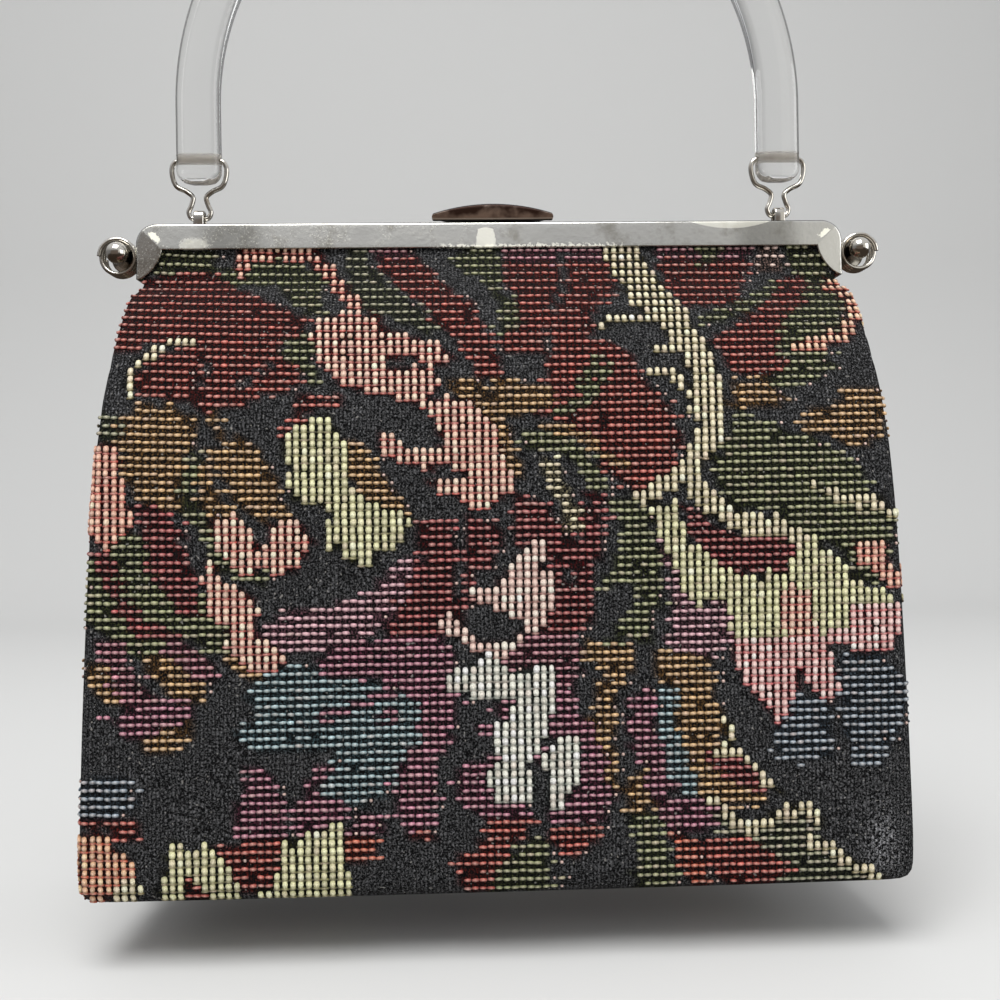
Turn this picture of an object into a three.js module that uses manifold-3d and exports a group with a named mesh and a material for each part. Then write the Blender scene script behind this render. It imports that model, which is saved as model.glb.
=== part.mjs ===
// A hanging tapestry handbag: a hollow cloth body in a metal clasp frame, with a clear arch handle on wire
// links.
// Millimetres, +Z up. The front faces -Y. The origin is where the handle hangs: the underside of its arch.
import * as THREE from "three";
import { mergeVertices } from "three/addons/utils/BufferGeometryUtils.js";
import Module from "manifold-3d";

const wasm = await Module();
wasm.setup();

// Clearance between neighbouring pieces
const gap = 0.3;

// Flat sides of a round wire or rod, and facets of a quarter turn at a corner
const wireSides = 8;
const springSides = 6;
const rodSides = 10;
const boreSides = 14;
const cornerFacets = 6;

// Handle: a flat bar with round edges, bent to a half circle on two straight legs
const barWidth = 16;
const barThickness = 7.6;
const archRadius = 106.4;
const legAboveHole = 20;
const legBelowHole = 8.4;
const holeDiameter = 4.2;
const barEndRadius = 4.4;
const archSegments = 34;
const barFlat = 1;
const barEdgeSteps = 3;
const footFacets = 3;

// Links and lugs
const linkWire = 1.8;
const linkHang = 0.65;
const linkLength = 20.6;
const linkSteps = 52;
const lugWidth = 3.8;
const lugStrip = 1.2;
const lugEyeRadius = 1.65;
const lugFoot = 2.6;
const lugEyeHeight = 4.2;
const lugBends = 8;

// Frame: two channel halves. They meet a little in front of the bag's middle plane, so that the lugs sit on
// the back half.
const frameWidth = 254;
const frameHalfDepth = 10;
const faceHeight = 9.5;
const frameWall = 1.2;
const cornerRadius = 7.5;
const legLength = 10.2;
const legCurve = 1.5;
const faceRounding = 0.9;
const roundingSteps = 3;
const legTip = 1.1;
const frameSplit = -3.2;

// Side hinges: ball-headed pins with coil springs
const ballDiameter = 7.8;
const pinDiameter = 7.2;
const pinDrop = 10.2;
const pinHalfLength = 8.2;
const springWire = 1.7;
const springRadius = 6.1;
const springTurns = 3;
const springPitch = 2.3;
const springFront = -7;
const springOut = 0.6;
const springDrop = 0.7;
const earThickness = 1.6;
const earHeight = 7;
const washerDiameter = 10.4;
const ballRings = 8;
const ballSides = 14;
const stepsPerTurn = 13;

// Clasp: a lens-shaped lift tab on a foot that turns on a rod at the back
const tabWidth = 43.6;
const tabHeight = 5.8;
const tabEndHeight = 2.3;
const tabThickness = 1.2;
const tabLift = 0.5;
const tabFront = 9.3;
const tabRounding = 0.25;
const tabSteps = 14;
const rodDiameter = 1.8;
const rodDepth = 6.6;
const rodHeight = 2.4;
const knuckleLength = 19;
const knuckleWall = 0.85;
const postWidth = 2;
const postDepth = 3.6;
const postOverRod = 0.7;
const footInset = 1.5;
const footLift = 0.2;
const footLap = 0.4;

// Cloth body
const clothWall = 2;
const bodyHeight = 228;
const creaseRadius = 4;
const creaseCut = 0.25;
const leanAtBase = -1.2;
const panelSegments = 14;
const sideSegments = 4;
const tuckCurve = 1.35;

// One row for each level of the cloth, from its mouth in the frame to its base. drop: below the frame's top.
// halfWidth: middle to side crease. edgeDepth, midDepth: half the bag's depth at the crease and the middle.
// round: how soon the panel falls off to the crease (2 is a parabola). tuck: how far the side folds in.
const levels = [
  { drop: 2.2, halfWidth: 121.2, edgeDepth: 8.1, midDepth: 8.1, round: 2, tuck: 7 },
  { drop: 7.5, halfWidth: 124.9, edgeDepth: 8.1, midDepth: 8.2, round: 2, tuck: 8 },
  { drop: 10, halfWidth: 124.9, edgeDepth: 8.1, midDepth: 8.6, round: 2, tuck: 8 },
  { drop: 14, halfWidth: 124.9, edgeDepth: 8.1, midDepth: 11, round: 2, tuck: 9 },
  { drop: 21.5, halfWidth: 125.2, edgeDepth: 8.4, midDepth: 16.5, round: 2, tuck: 10 },
  { drop: 28, halfWidth: 127.9, edgeDepth: 15.5, midDepth: 21.5, round: 2.2, tuck: 14 },
  { drop: 38, halfWidth: 128.6, edgeDepth: 23.5, midDepth: 28, round: 2.6, tuck: 19 },
  { drop: 55, halfWidth: 129.8, edgeDepth: 32, midDepth: 35, round: 3, tuck: 22 },
  { drop: 75, halfWidth: 131.3, edgeDepth: 38, midDepth: 40.2, round: 3, tuck: 20.5 },
  { drop: 110, halfWidth: 132.7, edgeDepth: 42.5, midDepth: 44.2, round: 3, tuck: 14.5 },
  { drop: 150, halfWidth: 134, edgeDepth: 44.5, midDepth: 46, round: 3, tuck: 8.5 },
  { drop: 190, halfWidth: 135, edgeDepth: 45.8, midDepth: 47, round: 3, tuck: 4 },
  { drop: 215, halfWidth: 135.5, edgeDepth: 46, midDepth: 47, round: 3, tuck: 2 },
  { drop: 222, halfWidth: 135.4, edgeDepth: 45.6, midDepth: 46.6, round: 3, tuck: 1.5 },
  { drop: 226.2, halfWidth: 134, edgeDepth: 43.9, midDepth: 44.9, round: 3, tuck: 1 },
  { drop: bodyHeight, halfWidth: 131, edgeDepth: 40.6, midDepth: 41.6, round: 3, tuck: 0.5 },
];

// Heights worked out from the dimensions above
const archCentreZ = barWidth / 2 - archRadius;
const holeZ = archCentreZ - legAboveHole;
const linkZ = holeZ - linkHang;
const lugZ = linkZ - linkLength;
const frameTopZ = lugZ - lugEyeHeight;

const plated = { metalness: 1 };
const clear = { transparent: true, opacity: 0.4 };
const finish = {
  acrylic: new THREE.MeshStandardMaterial({ color: 0xdfe3e2, roughness: 0.05, ...clear }),
  wire: new THREE.MeshStandardMaterial({ color: 0xb9b6ae, roughness: 0.25, ...plated }),
  nickel: new THREE.MeshStandardMaterial({ color: 0xb3b1aa, roughness: 0.38, ...plated }),
  polished: new THREE.MeshStandardMaterial({ color: 0x8d8078, roughness: 0.15, ...plated }),
  tapestry: new THREE.MeshStandardMaterial({ color: 0x2b211f, roughness: 0.95 }),
};

// Booleans on closed meshes

function solidOf(geometry) {
  const bare = geometry.clone();
  bare.deleteAttribute("normal");
  bare.deleteAttribute("uv");
  const merged = mergeVertices(bare, 1e-4);
  const mesh = new wasm.Mesh({
    numProp: 3,
    vertProperties: merged.getAttribute("position").array,
    triVerts: new Uint32Array(merged.index.array),
  });
  return new wasm.Manifold(mesh);
}

function geometryOf(solid) {
  const mesh = solid.getMesh();
  const geometry = new THREE.BufferGeometry();
  geometry.setAttribute("position", new THREE.BufferAttribute(mesh.vertProperties, 3));
  geometry.setIndex(new THREE.BufferAttribute(mesh.triVerts, 1));
  return geometry;
}

function join(first, ...others) {
  return geometryOf(others.reduce((sum, one) => sum.add(solidOf(one)), solidOf(first)));
}

function cut(whole, ...tools) {
  return geometryOf(tools.reduce((rest, tool) => rest.subtract(solidOf(tool)), solidOf(whole)));
}

// Basic forms

function box(sizeX, sizeY, sizeZ, x, y, z) {
  return new THREE.BoxGeometry(sizeX, sizeY, sizeZ).translate(x, y, z);
}

function rodAlongX(radius, length, sides) {
  return new THREE.CylinderGeometry(radius, radius, length, sides).rotateZ(Math.PI / 2);
}

function rodAlongY(radius, length, sides) {
  return new THREE.CylinderGeometry(radius, radius, length, sides);
}

function arcPoints(centreX, centreY, radius, from, to, segments) {
  return Array.from({ length: segments + 1 }, (_, i) => {
    const angle = from + ((to - from) * i) / segments;
    return new THREE.Vector2(centreX + radius * Math.cos(angle), centreY + radius * Math.sin(angle));
  });
}

// A round wire along a curve, closed at its ends
function wireAlong(curve, diameter, sides, steps) {
  const lastAngle = (2 * Math.PI * (sides - 1)) / sides;
  const section = new THREE.Shape(arcPoints(0, 0, diameter / 2, 0, lastAngle, sides - 1));
  return new THREE.ExtrudeGeometry(section, { steps, extrudePath: curve });
}

// A flat outline drawn in x and z, given a thickness from y = back to y = front, with rounded edges
function upright(outline, front, back, rounding, roundSteps) {
  const geometry = new THREE.ExtrudeGeometry(new THREE.Shape(outline), {
    depth: back - front - 2 * rounding,
    bevelEnabled: rounding > 0,
    bevelThickness: rounding,
    bevelSize: rounding,
    bevelOffset: -rounding,
    bevelSegments: roundSteps,
  });
  return geometry.rotateX(Math.PI / 2).translate(0, back - rounding, 0);
}

// A closed solid through rings of points, flat at its first and last ring
function loft(rings) {
  const count = rings[0].length;
  const index = [];
  for (let r = 0; r + 1 < rings.length; r += 1) {
    for (let i = 0; i < count; i += 1) {
      const next = (i + 1) % count;
      const here = r * count;
      const there = here + count;
      index.push(here + i, there + i, there + next, here + i, there + next, here + next);
    }
  }
  const last = (rings.length - 1) * count;
  const flatten = (ring) => ring.map((p) => new THREE.Vector2(p.x, p.y));
  for (const [a, b, c] of THREE.ShapeUtils.triangulateShape(flatten(rings[0]), [])) index.push(a, b, c);
  for (const [a, b, c] of THREE.ShapeUtils.triangulateShape(flatten(rings.at(-1)), [])) {
    index.push(last + a, last + c, last + b);
  }
  return new THREE.BufferGeometry().setFromPoints(rings.flat()).setIndex(index);
}

// Handle

function handleBar() {
  const half = barWidth / 2;
  const end = -legAboveHole - legBelowHole;
  const corner = barEndRadius;
  const outer = archRadius + half;
  const inner = archRadius - half;
  const footOf = (middle) => [
    ...arcPoints(middle - half + corner, end + corner, corner, Math.PI, 1.5 * Math.PI, footFacets),
    ...arcPoints(middle + half - corner, end + corner, corner, 1.5 * Math.PI, 2 * Math.PI, footFacets),
  ];
  const outline = [
    ...arcPoints(0, 0, outer, 0, Math.PI, archSegments),
    ...footOf(-archRadius),
    ...arcPoints(0, 0, inner, Math.PI, 0, archSegments),
    ...footOf(archRadius),
  ];
  const rounding = (barThickness - barFlat) / 2;
  const bar = upright(outline, -barThickness / 2, barThickness / 2, rounding, barEdgeSteps);
  const holes = [-1, 1].map((side) =>
    rodAlongX(holeDiameter / 2, 2 * barWidth, boreSides).translate(side * archRadius, 0, -legAboveHole),
  );
  return cut(bar, ...holes);
}

// Links: each runs from one hole end round the bar's foot, through its lug and back, as (x, z) places

const linkBends = [
  { x: 1.2, z: 0 },
  { x: 8.4, z: 0 },
  { x: 9.7, z: -1.8 },
  { x: 9.7, z: -5.2 },
  { x: 8.2, z: -8.9 },
  { x: 4.5, z: -10.9 },
  { x: 2.4, z: -12.9 },
  { x: 3, z: -15.8 },
  { x: 4, z: -18.4 },
  { x: 2.9, z: -linkLength },
];

function link() {
  const down = linkBends.map((p) => new THREE.Vector3(p.x, 0, p.z));
  const up = linkBends.map((p) => new THREE.Vector3(-p.x, 0, p.z)).reverse();
  const bottom = new THREE.Vector3(0, 0, -linkLength);
  const path = new THREE.CatmullRomCurve3([...down, bottom, ...up], false, "centripetal");
  return wireAlong(path, linkWire, wireSides, linkSteps);
}

// A strip bent over the link's lower bar, with a foot to the back, drawn in y and z and widened along x
function lug() {
  const outside = lugEyeRadius + lugStrip;
  const base = -lugEyeHeight + gap;
  const outline = [
    new THREE.Vector2(outside + lugFoot, base),
    new THREE.Vector2(outside + lugFoot, base + lugStrip),
    new THREE.Vector2(outside, base + lugStrip),
    ...arcPoints(0, 0, outside, 0, Math.PI, lugBends),
    new THREE.Vector2(-outside, base),
    new THREE.Vector2(-lugEyeRadius, base),
    ...arcPoints(0, 0, lugEyeRadius, Math.PI, 0, lugBends),
    new THREE.Vector2(lugEyeRadius, base),
  ];
  const strip = new THREE.ExtrudeGeometry(new THREE.Shape(outline), { depth: lugWidth, bevelEnabled: false });
  return strip.translate(0, 0, -lugWidth / 2).rotateX(Math.PI / 2).rotateZ(Math.PI / 2);
}

// Frame half, drawn as the front one: a face with tapering legs, and a rim along its outer edge

function frameHalf(rimDepth) {
  const half = frameWidth / 2;
  const tip = -faceHeight - legLength;
  const tongue = (side) =>
    Array.from({ length: cornerFacets + 1 }, (_, i) => {
      const angle = (i / cornerFacets) * (Math.PI / 2);
      const x = half - legTip - (faceHeight - legTip) * Math.cos(angle) ** (2 / legCurve);
      return new THREE.Vector2(side * x, -faceHeight - legLength * Math.sin(angle) ** (2 / legCurve));
    });
  const outline = [
    ...tongue(1),
    new THREE.Vector2(half, tip),
    ...arcPoints(half - cornerRadius, -cornerRadius, cornerRadius, 0, Math.PI / 2, cornerFacets),
    ...arcPoints(-half + cornerRadius, -cornerRadius, cornerRadius, Math.PI / 2, Math.PI, cornerFacets),
    new THREE.Vector2(-half, tip),
    ...tongue(-1).reverse(),
  ];
  const block = upright(outline, -frameHalfDepth, frameHalfDepth, faceRounding, roundingSteps);
  const innerRadius = cornerRadius - frameWall;
  const innerHalf = half - frameWall;
  const below = 2 * tip;
  const hollow = upright(
    [
      new THREE.Vector2(innerHalf, below),
      ...arcPoints(innerHalf - innerRadius, -cornerRadius, innerRadius, 0, Math.PI / 2, cornerFacets),
      ...arcPoints(-innerHalf + innerRadius, -cornerRadius, innerRadius, Math.PI / 2, Math.PI, cornerFacets),
      new THREE.Vector2(-innerHalf, below),
    ],
    -frameHalfDepth + frameWall,
    2 * frameHalfDepth,
    0,
    1,
  );
  const spare = 2 * frameHalfDepth;
  const spareHeight = 4 * (faceHeight - tip);
  const beyondRim = box(2 * frameWidth, spare, spareHeight, 0, rimDepth + spare / 2 - frameHalfDepth, 0);
  return cut(block, hollow, beyondRim);
}

// Side hinge: pin with a ball at each end, a washer behind the coil and an ear that meets the frame's rim

function hingePin(side) {
  const reach = pinReach();
  const profile = arcPoints(0, 0, ballDiameter / 2, -Math.PI / 2, Math.PI / 2, ballRings);
  profile[0].x = 0;
  profile.at(-1).x = 0;
  const ball = new THREE.LatheGeometry(profile, ballSides);
  const earDepth = springFront + springTurns * springPitch + springWire / 2 + gap + earThickness / 2;
  const footDepth = frameHalfDepth - earDepth;
  const pieces = [
    rodAlongY(pinDiameter / 2, 2 * pinHalfLength, boreSides),
    ball.clone().translate(0, -pinHalfLength, 0),
    ball.clone().translate(0, pinHalfLength, 0),
    rodAlongY(washerDiameter / 2, earThickness, boreSides).translate(0, earDepth, 0),
    box(reach, earThickness, earHeight, (-side * reach) / 2, earDepth, 0),
    box(frameWall, footDepth, earHeight, -side * (reach - frameWall / 2), earDepth + footDepth / 2, 0),
  ];
  return join(...pieces);
}

// How far the pin's axis stands outside the frame's rim, less the gap
function pinReach() {
  return springRadius - springOut + springWire / 2 + gap;
}

// A coil round the pin, from its front turn back to the ear. It hangs loose, a little out and down.
class Coil extends THREE.Curve {
  constructor(radius, pitch, turns, side) {
    super();
    Object.assign(this, { radius, pitch, turns, side });
  }

  getPoint(t, target = new THREE.Vector3()) {
    const angle = 2 * Math.PI * this.turns * t;
    const y = this.pitch * this.turns * t;
    return target.set(this.side * this.radius * Math.cos(angle), y, this.radius * Math.sin(angle));
  }
}

function hingeSpring(side) {
  const coil = new Coil(springRadius, springPitch, springTurns, side);
  const wire = wireAlong(coil, springWire, springSides, springTurns * stepsPerTurn);
  return wire.translate(side * springOut, springFront, -springDrop);
}

// Clasp: bracket with its rod on the back half, and the lever with foot, knuckle and lens-shaped tab

function claspHinge() {
  const postX = knuckleLength / 2 + gap + postWidth / 2;
  const postHeight = rodHeight + rodDiameter / 2 + postOverRod - gap;
  const posts = [-1, 1].map((side) =>
    box(postWidth, postDepth, postHeight, side * postX, rodDepth, gap + postHeight / 2),
  );
  const rod = rodAlongX(rodDiameter / 2, 2 * postX, rodSides).translate(0, rodDepth, rodHeight);
  return join(rod, ...posts);
}

function claspLever() {
  const half = tabWidth / 2;
  const rise = tabHeight - tabEndHeight;
  const radius = (half * half + rise * rise) / (2 * rise);
  const spread = Math.asin(half / radius);
  const lens = [
    new THREE.Vector2(-half, 0),
    new THREE.Vector2(half, 0),
    ...arcPoints(0, tabHeight - radius, radius, Math.PI / 2 - spread, Math.PI / 2 + spread, tabSteps),
  ];
  const tab = upright(lens, -tabFront, -tabFront + tabThickness, tabRounding, 1).translate(0, 0, tabLift);
  const knuckle = rodDiameter / 2 + gap + knuckleWall;
  const footBack = rodDepth - knuckle + footLap;
  const footFront = -tabFront + tabThickness / 2;
  const footOutline = [
    new THREE.Vector2(-half + footInset, footFront),
    new THREE.Vector2(half - footInset, footFront),
    new THREE.Vector2(knuckleLength / 2, 0),
    new THREE.Vector2(knuckleLength / 2, footBack),
    new THREE.Vector2(-knuckleLength / 2, footBack),
    new THREE.Vector2(-knuckleLength / 2, 0),
  ];
  const flat = { depth: tabThickness, bevelEnabled: false };
  const foot = new THREE.ExtrudeGeometry(new THREE.Shape(footOutline), flat);
  foot.translate(0, 0, tabLift + footLift);
  const barrel = rodAlongX(knuckle, knuckleLength, boreSides).translate(0, rodDepth, rodHeight);
  const bore = rodAlongX(knuckle - knuckleWall, 2 * knuckleLength, boreSides);
  bore.translate(0, rodDepth, rodHeight);
  return cut(join(tab, foot, barrel), bore);
}

// Cloth half: side = -1 is the front, with its seam on the middle plane

function clothRing(level, inset, seamY) {
  const width = level.halfWidth - inset;
  const edge = level.edgeDepth - inset;
  const mid = level.midDepth - inset;
  const seamX = width - level.tuck;
  const lean = leanAtBase * THREE.MathUtils.smoothstep(level.drop, 0, bodyHeight);
  const crease = Math.min(creaseRadius - inset / 2, edge / 3);
  const panelAt = (x) => edge + (mid - edge) * (1 - Math.abs(x / width) ** level.round);
  const flank = Array.from({ length: sideSegments + 1 }, (_, i) => {
    const along = (i / sideSegments) * (1 - crease / edge);
    const x = width - level.tuck * (1 - along) ** tuckCurve;
    return { x, depth: edge * along };
  });
  flank[0] = { x: seamX, depth: seamY };
  flank.push({ x: width - crease * creaseCut, depth: edge - crease * creaseCut });
  const panel = Array.from({ length: panelSegments + 1 }, (_, i) => {
    const x = (width - crease) * (1 - (2 * i) / panelSegments);
    return { x, depth: panelAt(x) };
  });
  const back = flank.map((p) => ({ x: -p.x, depth: p.depth })).reverse();
  return [...flank, ...panel, ...back].map((p) => ({ x: p.x + lean, depth: p.depth }));
}

function clothHalf(side) {
  const ringsOf = (rows, inset, seamY) =>
    rows.map((row) => {
      const ring = clothRing(row, inset, seamY).map((p) => new THREE.Vector3(p.x, side * p.depth, -row.drop));
      return side < 0 ? ring.reverse() : ring;
    });
  const mouth = { ...levels[0], drop: -faceHeight };
  const floor = { ...levels.at(-2), drop: bodyHeight - clothWall };
  const outer = loft(ringsOf(levels, 0, gap / 2));
  const inner = loft(ringsOf([mouth, ...levels.slice(0, -2), floor], clothWall, -clothWall));
  return cut(outer, inner);
}

// Assembly

function piece(name, geometry, material, x = 0, y = 0, z = 0) {
  const mesh = new THREE.Mesh(geometry, material);
  mesh.name = name;
  mesh.position.set(x, y, z);
  return mesh;
}

const bag = new THREE.Group();
bag.position.set(0, 0, frameTopZ);
bag.add(piece("frame_front", frameHalf(frameHalfDepth + frameSplit - gap / 2), finish.nickel));
const frameBack = piece("frame_back", frameHalf(frameHalfDepth - frameSplit - gap / 2), finish.nickel);
frameBack.rotation.z = Math.PI;
bag.add(frameBack);
bag.add(piece("body_front", clothHalf(-1), finish.tapestry));
bag.add(piece("body_back", clothHalf(1), finish.tapestry));
bag.add(piece("clasp_hinge", claspHinge(), finish.nickel));
bag.add(piece("clasp_lever", claspLever(), finish.polished));

const handle = new THREE.Group();
handle.add(piece("handle_bar", handleBar(), finish.acrylic, 0, 0, archCentreZ));

const sides = [
  { name: "left", side: -1 },
  { name: "right", side: 1 },
];
for (const { name, side } of sides) {
  const hingeX = side * (frameWidth / 2 + pinReach());
  bag.add(piece(`hinge_pin_${name}`, hingePin(side), finish.wire, hingeX, 0, -pinDrop));
  bag.add(piece(`hinge_spring_${name}`, hingeSpring(side), finish.wire, hingeX, 0, -pinDrop));
  handle.add(piece(`link_${name}`, link(), finish.wire, side * archRadius, 0, linkZ));
  handle.add(piece(`lug_${name}`, lug(), finish.wire, side * archRadius, 0, lugZ));
}

const handbag = new THREE.Group();
handbag.add(handle, bag);

export default handbag;
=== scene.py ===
"""A tapestry handbag that hangs by its clear arch handle.

This script makes the finished pieces, their materials, the stage, the light and the camera. Shapes are worked
out in millimetres, in the frame of the CAD parts, and become metres when a mesh is made.
"""

import math

import bmesh
import bpy
import numpy as np
from mathutils import Matrix, Vector


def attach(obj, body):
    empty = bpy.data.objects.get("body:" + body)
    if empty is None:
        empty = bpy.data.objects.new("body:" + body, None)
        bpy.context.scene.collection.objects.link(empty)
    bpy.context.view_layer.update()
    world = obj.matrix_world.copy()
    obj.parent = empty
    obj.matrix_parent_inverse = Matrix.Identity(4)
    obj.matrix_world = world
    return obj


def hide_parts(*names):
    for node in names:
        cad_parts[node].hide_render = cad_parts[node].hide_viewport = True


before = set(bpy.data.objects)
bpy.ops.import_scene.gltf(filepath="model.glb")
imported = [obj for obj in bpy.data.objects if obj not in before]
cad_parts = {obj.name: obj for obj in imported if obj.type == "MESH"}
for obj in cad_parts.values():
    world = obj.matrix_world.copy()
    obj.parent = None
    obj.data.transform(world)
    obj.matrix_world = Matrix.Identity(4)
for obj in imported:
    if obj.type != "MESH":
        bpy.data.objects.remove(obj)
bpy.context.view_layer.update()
dice = np.random.default_rng(1957)

MM = 0.001
SIDES = (("left", -1), ("right", 1))

# Heights above the place where the handle hangs
ARCH_CENTRE = -98.4
HOLE_HEIGHT = -118.4
LINK_HEIGHT = -119.05
LUG_HEIGHT = -139.65
FRAME_TOP = -143.85
CLOTH_DROP = 228
BASE_HEIGHT = FRAME_TOP - CLOTH_DROP

# Handle
ARCH_RADIUS = 106.4
BAR_HALF_WIDTH = 8
BAR_HALF_THICKNESS = 3.8
BAR_ROUNDING = 3.3
BAR_END = HOLE_HEIGHT - 8.4
BAR_END_RADIUS = 4.4
BAR_END_EASE = 1.2
HOLE_RADIUS = 2.1
ARCH_STEPS = 121
LEG_STEPS = 25
LEG_CROWDING = 0.55
BAR_BAND = (4.9, 5.7)
BAR_CLEAR_END = (3, 8)

# Links and lugs
LINK_WIRE = 0.9
LINK_BENDS = [
    (1.2, 0), (8.4, 0), (9.7, -1.8), (9.7, -5.2), (8.2, -8.9),
    (4.5, -10.9), (2.4, -12.9), (3, -15.8), (4, -18.4), (2.9, -20.6),
]
LINK_STEPS = 150
LUG_HALF_WIDTH = 1.9
LUG_HALF_STRIP = 0.6
LUG_EYE = 2.25
LUG_FOOT = 2.5
LUG_BASE = -3.3
LUG_LIFT = 0.35
LUG_BEND = 1.1
LUG_ROUNDING = 0.55

# Frame
FRAME_HALF = 127
FACE_FRONT = 10
FACE_HEIGHT = 9.5
FACE_SETBACK = 1.0
FACE_ROUNDING = 0.9
LIP_ROUNDING = 0.4
WALL = 1.2
CORNER_RADIUS = 7.5
LEG_LENGTH = 10.2
LEG_TIP = 1.1
LEG_CURVE = 1.5
SPLIT_FRONT = -3.35
SPLIT_BACK = -3.05
FACE_EDGE = FACE_FRONT - FACE_SETBACK - FACE_ROUNDING
RUBBED_PLACE = -2.6
CRUST_PLACE = 14
BLOOM_PLACE = -106
# Middle of the painted highlight under the front's upper edge
HIGHLIGHT_PLACE = 86
# Painted shade beside each lug: its distance from the middle, and its shift to the right
LUG_SHADE_PLACE = 96
LUG_SHADE_SHIFT = 3

# Side hinges
HINGE_X = 133.65
HINGE_HEIGHT = FRAME_TOP - 10.2
BALL_RADIUS = 3.9
BALL_PLACE = 8.2
PIN_RADIUS = 3.6
SPRING_RADIUS = 6.1
SPRING_WIRE = 0.85
SPRING_TURNS = 3
SPRING_PITCH = 2.3
SPRING_FRONT = -7
SPRING_OUT = 0.6
SPRING_DROP = 0.7
EAR_PLACE = 1.85
EAR_REACH = 6.65
EAR_HALF = 0.8
EAR_HALF_HEIGHT = 3.5
EAR_ROUNDING = 0.3
EAR_GAP = 0.3
WASHER_RADIUS = 5.2

# Radius of a turned piece's last ring, so small that its points merge into one
POLE_RADIUS = 1e-4

# Clasp
TAB_HALF = 21.8
TAB_HEIGHT = 5.8
TAB_END_HEIGHT = 2.3
TAB_LIFT = 0.5
TAB_BACK = -8.1
TAB_THICKNESS = 1.2
TAB_END_ROUNDING = 0.6
TAB_BULGE = 0.12
TAB_LEAN = 0.5
TAB_RISE = TAB_HEIGHT - TAB_END_HEIGHT
TAB_RADIUS = (TAB_HALF**2 + TAB_RISE**2) / (2 * TAB_RISE)
FOOT_HALF = 0.6
FOOT_LIFT = 0.8
ROD_PLACE = (6.6, FRAME_TOP + 2.4)
KNUCKLE_HALF = 9.5
KNUCKLE_RADIUS = 2.05
KNUCKLE_BORE = 1.2

# The clasp's foot, from the tab back into the knuckle: place along y and half width
FOOT_OUTLINE = [
    (TAB_BACK - 0.5, TAB_HALF - 1.5),
    (-6, 17.3),
    (-3, 13.4),
    (-1.2, 11),
    (0, KNUCKLE_HALF),
    (1.5, KNUCKLE_HALF),
    (ROD_PLACE[0] - KNUCKLE_RADIUS + 0.4, KNUCKLE_HALF),
]

# Cloth
CLOTH_THICKNESS = 1.2
CREASE_SOFTNESS = 3.4
MOUTH_SOFTNESS = 0.4
SOFTNESS_GROWTH = 0.08
SOFTENING = ((-1, 0.125), (-0.5, 0.25), (0, 0.25), (0.5, 0.25), (1, 0.125))
LEAN_AT_BASE = -1.2
TUCK_CURVE = 1.35
LOOSE_FROM_MOUTH = (22, 70)
LOOSE_FROM_BASE = (18, 4)
WAVE_HEIGHT = 0.45
WAVE_MARGIN = (18, 2)
GROOVE_DEPTH = 0.5
GROOVE_INSET = 5.5
GROOVE_WIDTH = 1.3
GROOVE_START = (120, 170)
COLUMN_PITCH = 2.53
ROW_PITCH = 2.6
ROW_STEPS = (7.55, 8.2)
ROW_LIMIT = 140
ROW_GROWTH = 1.5
PANEL_COLUMNS = 140
BASE_COLUMNS = 102
BASE_ROWS = 30
BASE_HALF = (129.5, 39.5)
BASE_REACH = 80
SEAM_GAP = 0.8
MOUTH_GAP = 3
CORNER_LIFT = 4.7
LIFT_START = 30
LIFT_SCALE = 1e4
LIFT_FADE = 165
FAR_SIDE_LIFT = 0.25

# Camera, placed by the frame's edges, the links and the balls in the photograph
CAMERA_TURN = math.radians(2.0)
CAMERA_ROLL = math.radians(0.9)
CAMERA_AIM = np.array([1.0, -10, -243.9])
CAMERA_DISTANCE = 358.2
CAMERA_LENS = 36
SENSOR = 36
CHART_SIZE = 1000


# Meshes


def skin(rings, ends=True, round_trip=False):
    """Vertices and faces over an array of rings: each ring closes on itself and runs into the next one.

    ends closes the first and last ring with a flat face; round_trip joins the last ring to the first.
    """
    count, size = rings.shape[:2]
    index = np.arange(count * size).reshape(count, size)
    order = np.vstack([index, index[:1]]) if round_trip else index
    here = order[:-1]
    there = order[1:]
    quads = np.stack([here, np.roll(here, -1, 1), np.roll(there, -1, 1), there], -1)
    faces = quads.reshape(-1, 4).tolist()
    if ends and not round_trip:
        faces += [index[0][::-1].tolist(), index[-1].tolist()]
    return rings.reshape(-1, 3), faces


def carried(path, section, across):
    """Rings of a section (n, 2) carried along a path (m, 3).

    The section's first axis is square to the path and to across, its second lies along across.
    """
    tangent = np.gradient(path, axis=0)
    tangent /= np.linalg.norm(tangent, axis=1, keepdims=True)
    first = np.cross(np.asarray(across, float), tangent)
    first /= np.linalg.norm(first, axis=1, keepdims=True)
    second = np.cross(tangent, first)
    section = np.broadcast_to(section, (len(path),) + np.shape(section)[-2:])
    return path[:, None] + section[..., :1] * first[:, None] + section[..., 1:] * second[:, None]


def circle(radius, count):
    """Points round a circle, as (count, 2)."""
    angle = np.linspace(0, 2 * np.pi, count, endpoint=False)
    return radius * np.stack([np.cos(angle), np.sin(angle)], 1)


def rounded_box(half_width, half_height, rounding, steps=6):
    """Outline of a rectangle with quarter circles at its corners, as (4 * steps + 4, 2)."""
    angle = np.linspace(0, np.pi / 2, steps + 1)
    arc = rounding * np.stack([np.cos(angle), np.sin(angle)], 1)
    x, y = half_width - rounding, half_height - rounding
    quarter = arc + (x, y)
    top = quarter[::-1] * (-1, 1)
    return np.vstack([quarter, top, -quarter, -top])


def turned(profile, centre, steps):
    """Rings of a profile of (radius, place along y) turned round the y axis through centre."""
    angle = np.linspace(0, 2 * np.pi, steps, endpoint=False)
    radius, place = np.asarray(profile, float).T
    x = radius[:, None] * np.cos(angle)
    z = radius[:, None] * np.sin(angle)
    y = np.broadcast_to(place[:, None], x.shape)
    return np.stack([x, y, z], -1) + centre


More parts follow.
